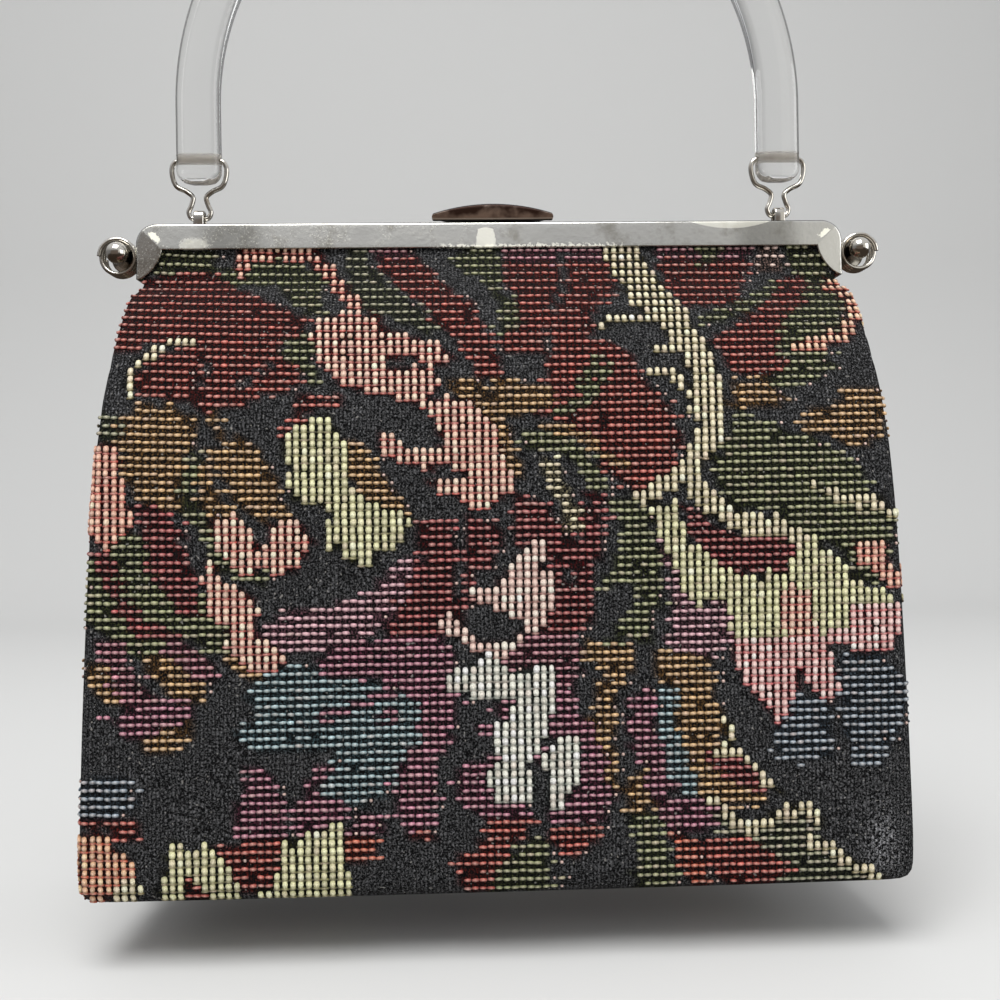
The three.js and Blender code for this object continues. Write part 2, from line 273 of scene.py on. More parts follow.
def slab(half_x, half_y, half_z, centre, rounding):
    """Rings of a block with round edges: a rounded rectangle in x and z, drawn in at both ends along y."""
    ease = np.sin(np.linspace(0, np.pi / 2, 4))
    inset = rounding * (1 - np.cos(np.arcsin(ease)))[::-1]
    depth = half_y - rounding * (1 - ease)
    place = np.concatenate([-depth[::-1], depth])
    shrink = np.concatenate([inset[::-1], inset])
    rings = []
    for y, small in zip(place, shrink):
        outline = rounded_box(half_x - small, half_z - small, rounding)
        rings.append(np.stack([outline[:, 0], np.full(len(outline), y), outline[:, 1]], 1))
    return np.array(rings) + centre


def smooth_path(points, count):
    """A curve through the points: cubic between knots that lie the root of the distance apart."""
    points = np.asarray(points, float)
    knots = np.concatenate([[0], np.cumsum(np.sqrt(np.linalg.norm(np.diff(points, axis=0), axis=1)))])
    slopes = np.gradient(points, knots, axis=0)
    place = np.linspace(0, knots[-1], count)
    return hermite(knots, points, slopes, place)


def hermite(knots, values, slopes, place):
    """Cubic Hermite curve: values and slopes at knots, read at place, one column for each value."""
    span = np.clip(np.searchsorted(knots, place, side="right") - 1, 0, len(knots) - 2)
    width = (knots[span + 1] - knots[span])[..., None]
    t = ((place - knots[span])[..., None]) / width
    start = values[span] * (1 + 2 * t) * (1 - t) ** 2 + slopes[span] * width * t * (1 - t) ** 2
    stop = values[span + 1] * t**2 * (3 - 2 * t) + slopes[span + 1] * width * t**2 * (t - 1)
    return start + stop


def mesh_of(name, parts):
    """One mesh in metres from parts of (vertices in millimetres, faces)."""
    vertices = []
    faces = []
    for points, polygons in parts:
        start = sum(len(v) for v in vertices)
        vertices.append(points * MM)
        faces += [[start + i for i in polygon] for polygon in polygons]
    mesh = bpy.data.meshes.new(name)
    mesh.from_pydata(np.vstack(vertices).tolist(), [], faces)
    return mesh


def close_up(mesh, merge=1e-6):
    """Merges doubled points and turns the faces of a closed mesh outwards."""
    work = bmesh.new()
    work.from_mesh(mesh)
    bmesh.ops.remove_doubles(work, verts=work.verts, dist=merge)
    bmesh.ops.dissolve_degenerate(work, edges=work.edges, dist=merge)
    bmesh.ops.recalc_face_normals(work, faces=work.faces)
    work.to_mesh(mesh)
    work.free()


def add_piece(mesh, material, body, nodes=(), sharp=40):
    """Puts a mesh into the scene as a piece that rides on a body and stands for CAD nodes."""
    piece = bpy.data.objects.new(mesh.name, mesh)
    bpy.context.collection.objects.link(piece)
    if not mesh.materials:
        mesh.materials.append(material)
    mesh.polygons.foreach_set("use_smooth", np.ones(len(mesh.polygons), bool))
    mesh.set_sharp_from_angle(angle=math.radians(sharp))
    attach(piece, body)
    if nodes:
        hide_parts(*nodes)
    return piece


def add_solid(name, parts, material, body, node, sharp=40):
    """Makes one closed mesh of several parts and adds it as the piece that stands for a CAD node."""
    mesh = mesh_of(name, parts)
    close_up(mesh)
    return add_piece(mesh, material, body, [node], sharp)


# Materials


class Value:
    """A shader output that takes part in arithmetic: each operator adds a Math node."""

    def __init__(self, nodes, socket):
        self.nodes = nodes
        self.socket = socket

    def math(self, operation, first, second=0.0):
        return self.nodes.node("ShaderNodeMath", {"operation": operation}, {0: first, 1: second})

    def __add__(self, other):
        return self.math("ADD", self, other)

    __radd__ = __add__

    def __sub__(self, other):
        return self.math("SUBTRACT", self, other)

    def __rsub__(self, other):
        return self.math("SUBTRACT", other, self)

    def __mul__(self, other):
        return self.math("MULTIPLY", self, other)

    __rmul__ = __mul__

    def __pow__(self, other):
        return self.math("POWER", self, other)

    def sine(self):
        return self.math("SINE", self)

    def size(self):
        return self.math("ABSOLUTE", self)

    def positive(self):
        return self.math("MAXIMUM", self)

    def fade(self, start, stop):
        """0 up to start, 1 from stop on, and a smooth rise between."""
        return self.nodes.node(
            "ShaderNodeMapRange",
            {"interpolation_type": "SMOOTHSTEP"},
            {"Value": self, "From Min": start, "From Max": stop},
        )


class Nodes:
    """A node tree that takes new nodes and feeds their sockets with numbers, colours or values."""

    def __init__(self, tree):
        self.tree = tree

    def feed(self, socket, value):
        """Links a value to a socket, or sets the socket to a number or a colour."""
        if isinstance(value, Value):
            self.tree.links.new(value.socket, socket)
        else:
            socket.default_value = value

    def node(self, kind, settings=None, sockets=None, output=0):
        """Any node: its type, its settings, its sockets' values or links, and the output to go on with."""
        made = self.tree.nodes.new(kind)
        for name, value in (settings or {}).items():
            setattr(made, name, value)
        for name, value in (sockets or {}).items():
            self.feed(made.inputs[name], value)
        return Value(self, made.outputs[output])

    def place(self, source):
        """The coordinates of a point by their name."""
        return self.node("ShaderNodeTexCoord", output=source)

    def part(self, source, axis):
        """One coordinate of a point: 0, 1 or 2 for x, y or z."""
        return self.node("ShaderNodeSeparateXYZ", None, {0: self.place(source)}, axis)

    def mix(self, factor, first, second):
        """Colour first where factor is 0, second where it is 1."""
        sockets = {"Factor": factor, 6: first, 7: second}
        return self.node("ShaderNodeMix", {"data_type": "RGBA"}, sockets, 2)


class Finish(Nodes):
    """A material made of one Principled shader, with nodes added by arithmetic on their outputs."""

    def __init__(self, name, **sockets):
        self.material = bpy.data.materials.new(name)
        self.material.use_nodes = True
        super().__init__(self.material.node_tree)
        self.shader = self.tree.nodes["Principled BSDF"]
        self.set(**sockets)

    def set(self, **sockets):
        """Feeds the shader's sockets, which are named with underscores for spaces."""
        for name, value in sockets.items():
            self.feed(self.shader.inputs[name.replace("_", " ")], value)

    def millimetres(self, axis):
        """One coordinate of a point of the piece in millimetres: 0, 1 or 2 for x, y or z."""
        return self.part("Object", axis) * (1 / MM)

    def noise(self, scale, detail=2.0, roughness=0.5):
        """Cloudy noise from 0 to 1 with so many clouds to the metre."""
        sockets = {"Vector": self.place("Object"), "Scale": scale, "Detail": detail, "Roughness": roughness}
        return self.node("ShaderNodeTexNoise", None, sockets)

    def bump(self, height, depth):
        """Normals of a relief that is depth metres deep where height is 1."""
        return self.node("ShaderNodeBump", None, {"Height": height, "Distance": depth, "Strength": 1.0})


def linear(red, green, blue):
    """A colour of 0 to 255 steps as light values."""
    steps = np.array([red, green, blue]) / 255
    light = np.where(steps <= 0.04045, steps / 12.92, ((steps + 0.055) / 1.055) ** 2.4)
    return tuple(light.tolist()) + (1.0,)


def clear_acrylic():
    """Clear bar, rubbed in spots, clear at its ends, with painted shade: a grey band along each round side
    and a darkening where it is seen edge on.

    A point's place across the bar is its distance from the middle line of the legs and the arch.
    """
    finish = Finish("clear_acrylic", IOR=1.49, Transmission_Weight=1.0)
    grazing = finish.node("ShaderNodeLayerWeight", None, {"Blend": 0.5}, "Facing")
    x = finish.millimetres(0)
    height = finish.millimetres(2) - BAR_END
    above = (height - (ARCH_CENTRE - BAR_END)).positive()
    across = ((x * x + above * above) ** 0.5 - ARCH_RADIUS).size()
    # Painted shade: grey bands along the round sides and darkening where the bar is seen edge on
    sides = 0.12 * across.fade(*BAR_BAND) + 0.88 * grazing.fade(0.36, 0.5)
    dim = sides * height.fade(*BAR_CLEAR_END)
    finish.set(Base_Color=finish.mix(dim, (0.97, 0.97, 0.965, 1), (0.16, 0.16, 0.155, 1)))
    rubbed = finish.noise(90, 4, 0.6)
    finish.set(Roughness=0.015 + 0.07 * rubbed.fade(0.55, 0.8))
    return finish.material


def drilled_acrylic():
    """The matt, milky wall of a drilled hole."""
    finish = Finish("drilled_acrylic", Base_Color=linear(205, 198, 188), IOR=1.49, Transmission_Weight=0.55)
    finish.set(Roughness=0.6)
    return finish.material


def plated_wire():
    """Bright plating, worn to a browner, duller tone in clouds."""
    finish = Finish("plated_wire", Metallic=1.0)
    worn = finish.noise(160, 3)
    finish.set(Base_Color=finish.mix(worn.fade(0.5, 0.75), linear(202, 198, 190), linear(168, 158, 144)))
    finish.set(Roughness=0.06 + 0.16 * worn)
    return finish.material


def middle_marks(x, height, spots):
    """A pale rubbed patch in the bar's middle, and pale flakes along its lower edge there, both ragged."""
    low = (1 - height.fade(0.4, 2.6)) * (1 - (x - CRUST_PLACE).size().fade(24, 46))
    flaked = (spots + 0.22 * low).fade(0.66, 0.72)
    beside = (x - RUBBED_PLACE).size() + 0.12 * height + height.fade(6.6, 8.0) * 4 + 2.0 * (spots - 0.5)
    rubbed = 1 - beside.fade(3.3, 3.9)
    return 0.6 * flaked * low + 0.4 * rubbed


def corner_glints(finish, inwards, downwards):
    """A painted highlight: a pale ragged glint along each mitre, where a point is as far from the side as
    from the top.
    """
    ragged = finish.noise(420, 3, 0.7) - 0.5
    off_mitre = (inwards - downwards - 1.9).size() + 6.0 * ragged
    along_mitre = (inwards + downwards - 11.5).size() + 6.0 * ragged
    glint = (1 - off_mitre.fade(0.8, 1.5)) * (1 - along_mitre.fade(2.6, 3.8))
    return 0.9 * glint


def left_marks(finish, x, height, spots, worn):
    """A pale oval bloom near the left end, and fine pale speckle on the worn clouds of the left half."""
    beside = 0.2 * (x - BLOOM_PLACE)
    above = 0.4 * (height - 1.6)
    from_bloom = beside * beside + above * above + 3.0 * (spots - 0.5)
    bloom = 1 - from_bloom.fade(0.6, 1.5)
    speckle = finish.noise(1500, 2).fade(0.54, 0.7) * worn.fade(0.4, 0.56) * (1 - x.fade(-20, 30))
    return 0.26 * bloom + 0.22 * speckle


def right_highlight(x, downwards, frontwards):
    """A painted highlight under the front's upper edge: the cap of a shallow parabola."""
    beside = x - HIGHLIGHT_PLACE
    highlight = (3.2 - 0.012 * beside * beside - downwards).fade(0, 0.4)
    return 0.4 * (highlight * frontwards.fade(FACE_EDGE + 0.3, FACE_EDGE + 0.6))


def painted_edge_shade(inwards, downwards, frontwards):
    """Painted shade: a dark line inside the face's outer edge, which turns each corner in a quarter circle.
    """
    corner_x = (CORNER_RADIUS - inwards).positive()
    corner_z = (CORNER_RADIUS - downwards).positive()
    from_edge = CORNER_RADIUS - (corner_x * corner_x + corner_z * corner_z) ** 0.5
    return (1 - from_edge.fade(0.36, 0.46)) * frontwards.size().fade(FACE_EDGE, FACE_EDGE + 0.15)


def satin_nickel():
    """The frame's satin bar: cloudy grey with pale wear marks, painted highlights at the mitres and under the
    front's upper edge, and painted shade beside the lugs and along its outer edge.
    """
    finish = Finish("satin_nickel")
    worn = finish.noise(75, 5, 0.65)
    spots = finish.noise(700, 3, 0.6)
    x = finish.millimetres(0)
    frontwards = -1.0 * finish.millimetres(1)
    height = finish.millimetres(2) - (FRAME_TOP - FACE_HEIGHT)
    inwards = FRAME_HALF - x.size()
    downwards = FACE_HEIGHT - height
    clouds = finish.mix(worn.fade(0.48, 0.68), linear(204, 203, 198), linear(166, 163, 155))
    # Painted shade: darker bands beside the lugs stand in for dark reflections there
    lug_shade = 1 - ((x - LUG_SHADE_SHIFT).size() - LUG_SHADE_PLACE).size().fade(5, 15)
    shaded_clouds = finish.mix(0.55 * lug_shade, clouds, linear(120, 118, 112))
    # pale holds pale wear (rubbed patch, flakes, bloom, speckle) and painted highlights (mitre glints, the
    # highlight under the upper edge); it also lowers Metallic and raises Roughness
    pale = middle_marks(x, height, spots) + corner_glints(finish, inwards, downwards)
    pale = pale + left_marks(finish, x, height, spots, worn) + right_highlight(x, downwards, frontwards)
    plain = finish.mix(pale, shaded_clouds, linear(233, 231, 214))
    # Painted shade along the face's outer edge
    edge_shade = painted_edge_shade(inwards, downwards, frontwards)
    finish.set(Base_Color=finish.mix(edge_shade, plain, linear(34, 33, 30)))
    finish.set(Metallic=1 - 0.8 * pale)
    finish.set(Roughness=0.18 + 0.1 * worn + 0.3 * pale)
    finish.set(Normal=finish.bump(spots + 2.0 * worn, 0.00004))
    return finish.material


def polished_tab():
    """The tab's brown polish with painted reflections in lighter and darker clouds that darken towards the
    top, a painted dark line inside its rim, a painted shadow line along its lower edge and a painted
    highlight line at its foot.
    """
    finish = Finish("polished_tab")
    worn = finish.noise(240, 4, 0.6)
    x = finish.millimetres(0)
    height = finish.millimetres(2) - (FRAME_TOP + TAB_LIFT)
    below_rim = (TAB_HEIGHT - TAB_RADIUS) + (TAB_RADIUS**2 - x * x) ** 0.5 - height
    # Painted reflections: clouds of lighter and darker brown, darker towards the top
    cloudy = finish.noise(110, 3, 0.6) + 0.06 * (height - 2.2)
    brown = finish.mix(cloudy.fade(0.36, 0.62), linear(208, 186, 172), linear(96, 74, 66))
    # Painted highlight: a bright line at the foot
    foot_highlight = height.fade(0.3, 0.4) - height.fade(0.65, 0.8)
    lit = finish.mix(foot_highlight, brown, linear(236, 228, 214))
    # Painted shade: a dark line inside the rim, and a painted shadow line along the lower edge
    painted_dark_lines = (1 - below_rim.fade(0.3, 0.55)) + (1 - height.fade(0.2, 0.3))
    finish.set(Base_Color=finish.mix(painted_dark_lines, lit, linear(14, 11, 10)))
    finish.set(Metallic=1 - painted_dark_lines)
    finish.set(Roughness=0.12 + 0.12 * worn + 0.2 * foot_highlight + 0.7 * painted_dark_lines)
    return finish.material


def black_ground():
    """The cloth between the stitches: black rep, two ribs and two picks to a stitch, with light flecks."""
    finish = Finish("black_ground", Roughness=0.92, Specular_IOR_Level=0.12, Sheen_Weight=0.02)
    under = finish.node("ShaderNodeAttribute", {"attribute_name": "under"})
    across = finish.part("UV", 0)
    down = finish.part("UV", 1)
    ribs = (across * (2 * math.pi / COLUMN_PITCH)).sine().size()
    picks = (down * (2 * math.pi / ROW_PITCH) + 2.0 * ribs).sine().size()
    thread = ribs * (0.35 + 0.65 * picks)
    fleck = finish.noise(900, 0).fade(0.77, 0.82)
    uneven = finish.noise(1600, 3, 0.8).fade(0.48, 0.57)
    weave = finish.mix((0.25 + 0.75 * thread) * uneven, linear(4, 4, 5), under)
    finish.set(Base_Color=finish.mix(fleck * 0.5, weave, linear(190, 186, 180)))
    finish.set(Normal=finish.bump(thread + uneven, 0.0006))
    return finish.material


def tapestry_thread():
    """Wool-like thread: the stitch's colour with its painted highlight and shade from the points, mottled
    with a darker tone of it, with a fine relief.
    """
    finish = Finish("tapestry_thread", Roughness=0.85, Specular_IOR_Level=0.25, Sheen_Weight=0.15)
    colour = finish.node("ShaderNodeAttribute", {"attribute_name": "thread"})
    mottle = finish.noise(2600, 2)
    darken = {"data_type": "RGBA", "blend_type": "MULTIPLY"}
    darker = finish.node("ShaderNodeMix", darken, {"Factor": 1.0, 6: colour, 7: (0.66, 0.64, 0.62, 1)}, 2)
    finish.set(Base_Color=finish.mix(mottle.fade(0.3, 0.7), darker, colour))
    finish.set(Normal=finish.bump(mottle, 0.0002))
    return finish.material


ACRYLIC = clear_acrylic()
DRILLED = drilled_acrylic()
WIRE = plated_wire()
NICKEL = satin_nickel()
POLISHED = polished_tab()
GROUND = black_ground()
THREAD = tapestry_thread()


# Handle


def handle_bar():
    """A rounded bar carried up one leg, round a half circle and down the other leg.

    Its section is a rounded rectangle. Towards each end its width follows a circle of BAR_END_RADIUS.
    """
    angle = np.linspace(np.pi, 0, ARCH_STEPS)
    leg = np.linspace(0, 1, LEG_STEPS) ** LEG_CROWDING
    drop = BAR_END + (ARCH_CENTRE - BAR_END) * (1 - leg[::-1])
    left = np.stack([np.full_like(drop, -ARCH_RADIUS), np.zeros_like(drop), drop], 1)[:-1]
    rise = ARCH_CENTRE + ARCH_RADIUS * np.sin(angle)
    arch = np.stack([ARCH_RADIUS * np.cos(angle), np.zeros_like(angle), rise], 1)
    path = np.vstack([left, arch, left[::-1] * (-1, 1, 1)])
    from_end = np.where(path[:, 2] < ARCH_CENTRE, path[:, 2] - BAR_END, np.inf)
    near = np.clip(from_end, 0, BAR_END_RADIUS)
    width = BAR_HALF_WIDTH - BAR_END_RADIUS + np.sqrt(BAR_END_RADIUS**2 - (BAR_END_RADIUS - near) ** 2)
    near = np.clip(from_end, 0, BAR_END_EASE)
    thick = BAR_HALF_THICKNESS - BAR_END_EASE + np.sqrt(BAR_END_EASE**2 - (BAR_END_EASE - near) ** 2)
    full = rounded_box(BAR_HALF_WIDTH, BAR_HALF_THICKNESS, BAR_ROUNDING, 8)
    scale = np.stack([width / BAR_HALF_WIDTH, thick / BAR_HALF_THICKNESS], 1)
    section = full[None] * scale[:, None]
    mesh = mesh_of("bar_before_drilling", [skin(carried(path, section, (0, 1, 0)))])
    close_up(mesh)
    return mesh


def drill(mesh, radius, places):
    """Cuts holes along x through a mesh at the places given. The holes' walls have their own material."""
    bar = bpy.data.objects.new("bar_before_drilling", mesh)
    length = 2 * BAR_HALF_WIDTH
    rings = []
    for x, z in places:
        path = np.array([(x - length, 0, z), (x, 0, z), (x + length, 0, z)], float)
        rings.append(skin(carried(path, circle(radius, 36), (0, 1, 0))))
    bits = mesh_of("drill_bits", rings)
    close_up(bits)
    mesh.materials.append(ACRYLIC)
    bits.materials.append(DRILLED)
    tool = bpy.data.objects.new("drill_bits", bits)
    for one in (bar, tool):
        bpy.context.collection.objects.link(one)
    modifier = bar.modifiers.new("holes", "BOOLEAN")
    modifier.object = tool
    modifier.operation = "DIFFERENCE"
    modifier.solver = "EXACT"
    modifier.material_mode = "TRANSFER"
    graph = bpy.context.evaluated_depsgraph_get()
    drilled = bpy.data.meshes.new_from_object(bar.evaluated_get(graph))
    drilled.name = "handle_clear"
    for one in (bar, tool):
        bpy.data.objects.remove(one)
    return drilled


hole_places = [(-ARCH_RADIUS, HOLE_HEIGHT), (ARCH_RADIUS, HOLE_HEIGHT)]
handle_mesh = drill(handle_bar(), HOLE_RADIUS, hole_places)
add_piece(handle_mesh, ACRYLIC, "handle", ["handle_bar"], sharp=30)


# Links and lugs


def link_wire(x):
    """Round wire along a smooth curve through the link's bends, left half mirrored from the right half."""
    right = np.insert(np.array(LINK_BENDS, float), 1, 0, axis=1)
    low = right[-1:] * (0, 1, 1)
    path = smooth_path(np.vstack([right, low, right[::-1] * (-1, 1, 1)]), LINK_STEPS)
    return carried(path + (x, 0, LINK_HEIGHT), circle(LINK_WIRE, 14), (0, 1, 0))


def lug_strap(x):
    """A flat strip carried up from its foot, round over the link's lower bar, and down in front."""
    angle = np.linspace(0, np.pi, 25)
    arc = np.stack([LUG_EYE * np.cos(angle), LUG_EYE * np.sin(angle)], 1)
    foot = LUG_BASE + LUG_LIFT
    lead = np.array([(LUG_FOOT, 0), (LUG_BEND, 0), (0.3, 0.3), (0, LUG_BEND)]) + (LUG_EYE, foot)
    front = np.array([(-LUG_EYE, -1.2), (-LUG_EYE, LUG_BASE)])
    outline = np.vstack([lead, arc, front])
    path = np.stack([np.full(len(outline), x), outline[:, 0], LUG_HEIGHT + outline[:, 1]], 1)
    return carried(path, rounded_box(LUG_HALF_STRIP, LUG_HALF_WIDTH, LUG_ROUNDING, 5), (1, 0, 0))


for side, sign in SIDES:
    wire = [skin(link_wire(sign * ARCH_RADIUS))]
    add_solid(f"link_wire_{side}", wire, WIRE, "links", f"link_{side}")
    strap = [skin(lug_strap(sign * ARCH_RADIUS))]
    add_solid(f"lug_strap_{side}", strap, WIRE, "bag", f"lug_{side}")


# Frame


def frame_outlines():
    """The face's outer and inner edge as (n, 2) in x and z, from the left leg's tip to the right leg's tip.

    Outer: straight leg, quarter circle, straight top. Inner: quarter of a superellipse, corner point,
    straight bar. Both have the same number of points.
    """
    leg_steps, bend_steps, top_steps = 14, 18, 40
    tip = -FACE_HEIGHT - LEG_LENGTH
    inner_corner = FRAME_HALF - FACE_HEIGHT
    climb = np.linspace(0, 1, leg_steps + 1)[:-1]
    outer_leg = np.stack([np.full(leg_steps, -FRAME_HALF), tip + (-CORNER_RADIUS - tip) * climb], 1)
    sweep = np.pi / 2 * (1 - climb)
    power = 2 / LEG_CURVE
    leg_x = FRAME_HALF - LEG_TIP - (FACE_HEIGHT - LEG_TIP) * np.cos(sweep) ** power
    inner_leg = np.stack([-leg_x, -FACE_HEIGHT - LEG_LENGTH * np.sin(sweep) ** power], 1)
    bend = np.linspace(np.pi, np.pi / 2, bend_steps + 1)[:-1]
    centre = np.array([-FRAME_HALF + CORNER_RADIUS, -CORNER_RADIUS])
    outer_bend = centre + CORNER_RADIUS * np.stack([np.cos(bend), np.sin(bend)], 1)
    inner_bend = np.tile([-inner_corner, -FACE_HEIGHT], (bend_steps, 1))
    run = np.linspace(-1, 0, top_steps)
    outer_top = np.stack([(FRAME_HALF - CORNER_RADIUS) * run, np.zeros(top_steps)], 1)
    inner_top = np.stack([inner_corner * run, np.full(top_steps, -FACE_HEIGHT)], 1)
    outer = np.vstack([outer_leg, outer_bend, outer_top])
    inner = np.vstack([inner_leg, inner_bend, inner_top])
    mirror = np.array([-1, 1])
    return np.vstack([outer, outer[-2::-1] * mirror]), np.vstack([inner, inner[-2::-1] * mirror])


def frame_half(facing, split):
    """A channel: a face between two outlines, rounded at both edges, and a rim along the outer one.

    facing is -1 for the front half. The bar's and the legs' facets lean back by FACE_SETBACK towards their
    outer edges, so they meet in a mitre at each corner. Towards a leg's tip the roundings and the wall shrink
    with the width.
    """
    outer, inner = frame_outlines()
    width = np.linalg.norm(inner - outer, axis=1)
    turn = np.linspace(0, np.pi / 2, 17)
    edge = np.minimum(FACE_ROUNDING, 0.45 * width)
    lip = np.minimum(LIP_ROUNDING, 0.4 * width)
    inside = np.minimum(WALL, 0.5 * width)
    across = []
    depth = []
    for angle in turn:
        across.append(edge * (1 - np.cos(angle)))
        depth.append(FACE_FRONT - edge * (1 - np.sin(angle)))
    for share in (0.15, 0.3, 0.5, 0.7, 0.85):
        across.append(edge + share * (width - edge - lip))
        depth.append(np.full_like(width, FACE_FRONT))
    for angle in turn:
        across.append(width - lip * (1 - np.sin(angle)))
        depth.append(FACE_FRONT - lip * (1 - np.cos(angle)))
    across = np.stack(across, 1)
    depth = np.stack(depth, 1)
    flat = outer[:, None] + (across / width[:, None])[..., None] * (inner - outer)[:, None]
    beside = np.abs(flat[..., 0]) - (FRAME_HALF - FACE_HEIGHT)
    above = flat[..., 1] + FACE_HEIGHT
    depth = depth - FACE_SETBACK * np.clip(np.maximum(beside, above) / FACE_HEIGHT, 0, 1)
    hidden = np.stack([width, inside, inside, np.zeros_like(width)], 1)
    back = np.array([FACE_FRONT - WALL - 0.2, FACE_FRONT - WALL - 0.3, facing * split, facing * split])
    flat_back = outer[:, None] + (hidden / width[:, None])[..., None] * (inner - outer)[:, None]
    flat = np.concatenate([flat, flat_back], 1)
    depth = np.concatenate([depth, np.broadcast_to(back, hidden.shape)], 1)
    return np.stack([flat[..., 0], facing * depth, FRAME_TOP + flat[..., 1]], -1)


for name, facing, split in (("front", -1, SPLIT_FRONT), ("back", 1, SPLIT_BACK)):
    half = [skin(frame_half(facing, split))]
    add_solid(f"frame_{name}_moulding", half, NICKEL, "bag", f"frame_{name}", sharp=6)


# Side hinges


def hinge_pin(sign):
    """A turned pin with a ball at each end, its washer, and the ear that joins it to the frame's rim."""
    arc = np.linspace(-np.pi / 2, np.pi / 2 - math.asin(PIN_RADIUS / BALL_RADIUS), 22)
    ball = np.stack([BALL_RADIUS * np.cos(arc), -BALL_PLACE + BALL_RADIUS * np.sin(arc)], 1)
    ball[0, 0] = POLE_RADIUS
    profile = np.vstack([ball, ball[::-1] * (1, -1)])
    centre = np.array([sign * HINGE_X, 0, HINGE_HEIGHT])
    pin = turned(profile, centre, 32)
    ear_x = HINGE_X - EAR_REACH / 2
    ear_centre = (sign * ear_x, EAR_PLACE, HINGE_HEIGHT)
    ear = slab(EAR_REACH / 2, EAR_HALF, EAR_HALF_HEIGHT, ear_centre, EAR_ROUNDING)
    foot_x = sign * (FRAME_HALF + EAR_GAP + WALL / 2)
    foot_centre = (foot_x, (EAR_PLACE + FACE_FRONT) / 2, HINGE_HEIGHT)
    foot = slab(WALL / 2, (FACE_FRONT - EAR_PLACE) / 2, EAR_HALF_HEIGHT, foot_centre, EAR_ROUNDING)
    rim = WASHER_RADIUS - EAR_ROUNDING
    front, back = EAR_PLACE - EAR_HALF, EAR_PLACE + EAR_HALF
    plate = [
        (POLE_RADIUS, front), (rim, front), (WASHER_RADIUS, front + EAR_ROUNDING),
        (WASHER_RADIUS, back - EAR_ROUNDING), (rim, back), (POLE_RADIUS, back),
    ]
    washer = turned(plate, centre, 40)
    return [skin(pin), skin(ear), skin(foot), skin(washer)]


def hinge_spring(sign):
    """Round wire along a helix that hangs loose round the pin: a full turn for each pitch."""
    turn = np.linspace(0, 2 * np.pi * SPRING_TURNS, 36 * SPRING_TURNS + 1)
    x = sign * (HINGE_X + SPRING_OUT + SPRING_RADIUS * np.cos(turn))
    y = SPRING_FRONT + SPRING_PITCH * turn / (2 * np.pi)
    z = HINGE_HEIGHT - SPRING_DROP + SPRING_RADIUS * np.sin(turn)
    return carried(np.stack([x, y, z], 1), circle(SPRING_WIRE, 12), (0, 1, 0))


for side, sign in SIDES:
    add_solid(f"ball_pin_{side}", hinge_pin(sign), WIRE, "bag", f"hinge_pin_{side}")
    coil = [skin(hinge_spring(sign))]
    add_solid(f"coil_{side}", coil, WIRE, "bag", f"hinge_spring_{side}")


# Clasp


def tab_height(x):
    """The lens-shaped tab's height at x: a circle's arc over a straight lower edge."""
    return TAB_HEIGHT - TAB_RADIUS + np.sqrt(TAB_RADIUS**2 - x**2)


def clasp_tab():
    """Rounded plate sections along x. Each is as high as the lens there and bulges a little to the front."""
    x = TAB_HALF * np.sin(np.linspace(-np.pi / 2, np.pi / 2, 61))
    past = (np.abs(x) - TAB_HALF + TAB_END_ROUNDING).clip(0) / TAB_END_ROUNDING
    close = np.sqrt(np.clip(1 - past**2, 0.02, 1))
    height = tab_height(x) * close
    outline = rounded_box(0.5, 0.5, 0.24, 5)
    up = outline[:, 1] + 0.5
    z = FRAME_TOP + TAB_LIFT + (tab_height(x) - height)[:, None] / 2 + height[:, None] * up
    front = outline[:, 0] < 0
    bulge = TAB_BULGE * front * (1 - (2 * up - 1) ** 2)
    y = TAB_BACK + TAB_THICKNESS * (outline[:, 0] - 0.5) - bulge - TAB_LEAN * (up - 0.5)
    y = np.broadcast_to(y, z.shape)
    return np.stack([np.broadcast_to(x[:, None], z.shape), y, z], -1)


def clasp_foot():
    """A flat plate from the tab back to the knuckle: rounded sections along y, narrower at the back."""
    rings = []
    for place, wide in FOOT_OUTLINE:
        outline = rounded_box(wide, FOOT_HALF, 0.25, 4)
        height = FRAME_TOP + TAB_LIFT + FOOT_LIFT + outline[:, 1]
        rings.append(np.stack([outline[:, 0], np.full(len(outline), place), height], 1))
    return np.array(rings)


def clasp_knuckle():
    """A tube round the clasp's rod: a closed rectangle with eased corners turned round the rod's axis."""
    wall = (KNUCKLE_RADIUS - KNUCKLE_BORE) / 2
    outline = rounded_box(wall, KNUCKLE_HALF, 0.2, 3)
    angle = np.linspace(0, 2 * np.pi, 36, endpoint=False)[:, None]
    radius = KNUCKLE_BORE + wall + outline[:, 0]
    y = ROD_PLACE[0] + radius * np.cos(angle)
    z = ROD_PLACE[1] + radius * np.sin(angle)
    return np.stack([np.broadcast_to(outline[:, 1], y.shape), y, z], -1)


lever = [skin(clasp_tab()), skin(clasp_foot()), skin(clasp_knuckle(), round_trip=True)]
add_solid("clasp_tab", lever, POLISHED, "clasp", "clasp_lever")
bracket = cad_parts["clasp_hinge"].data
bracket.materials.clear()
bracket.materials.append(NICKEL)


# Cloth body

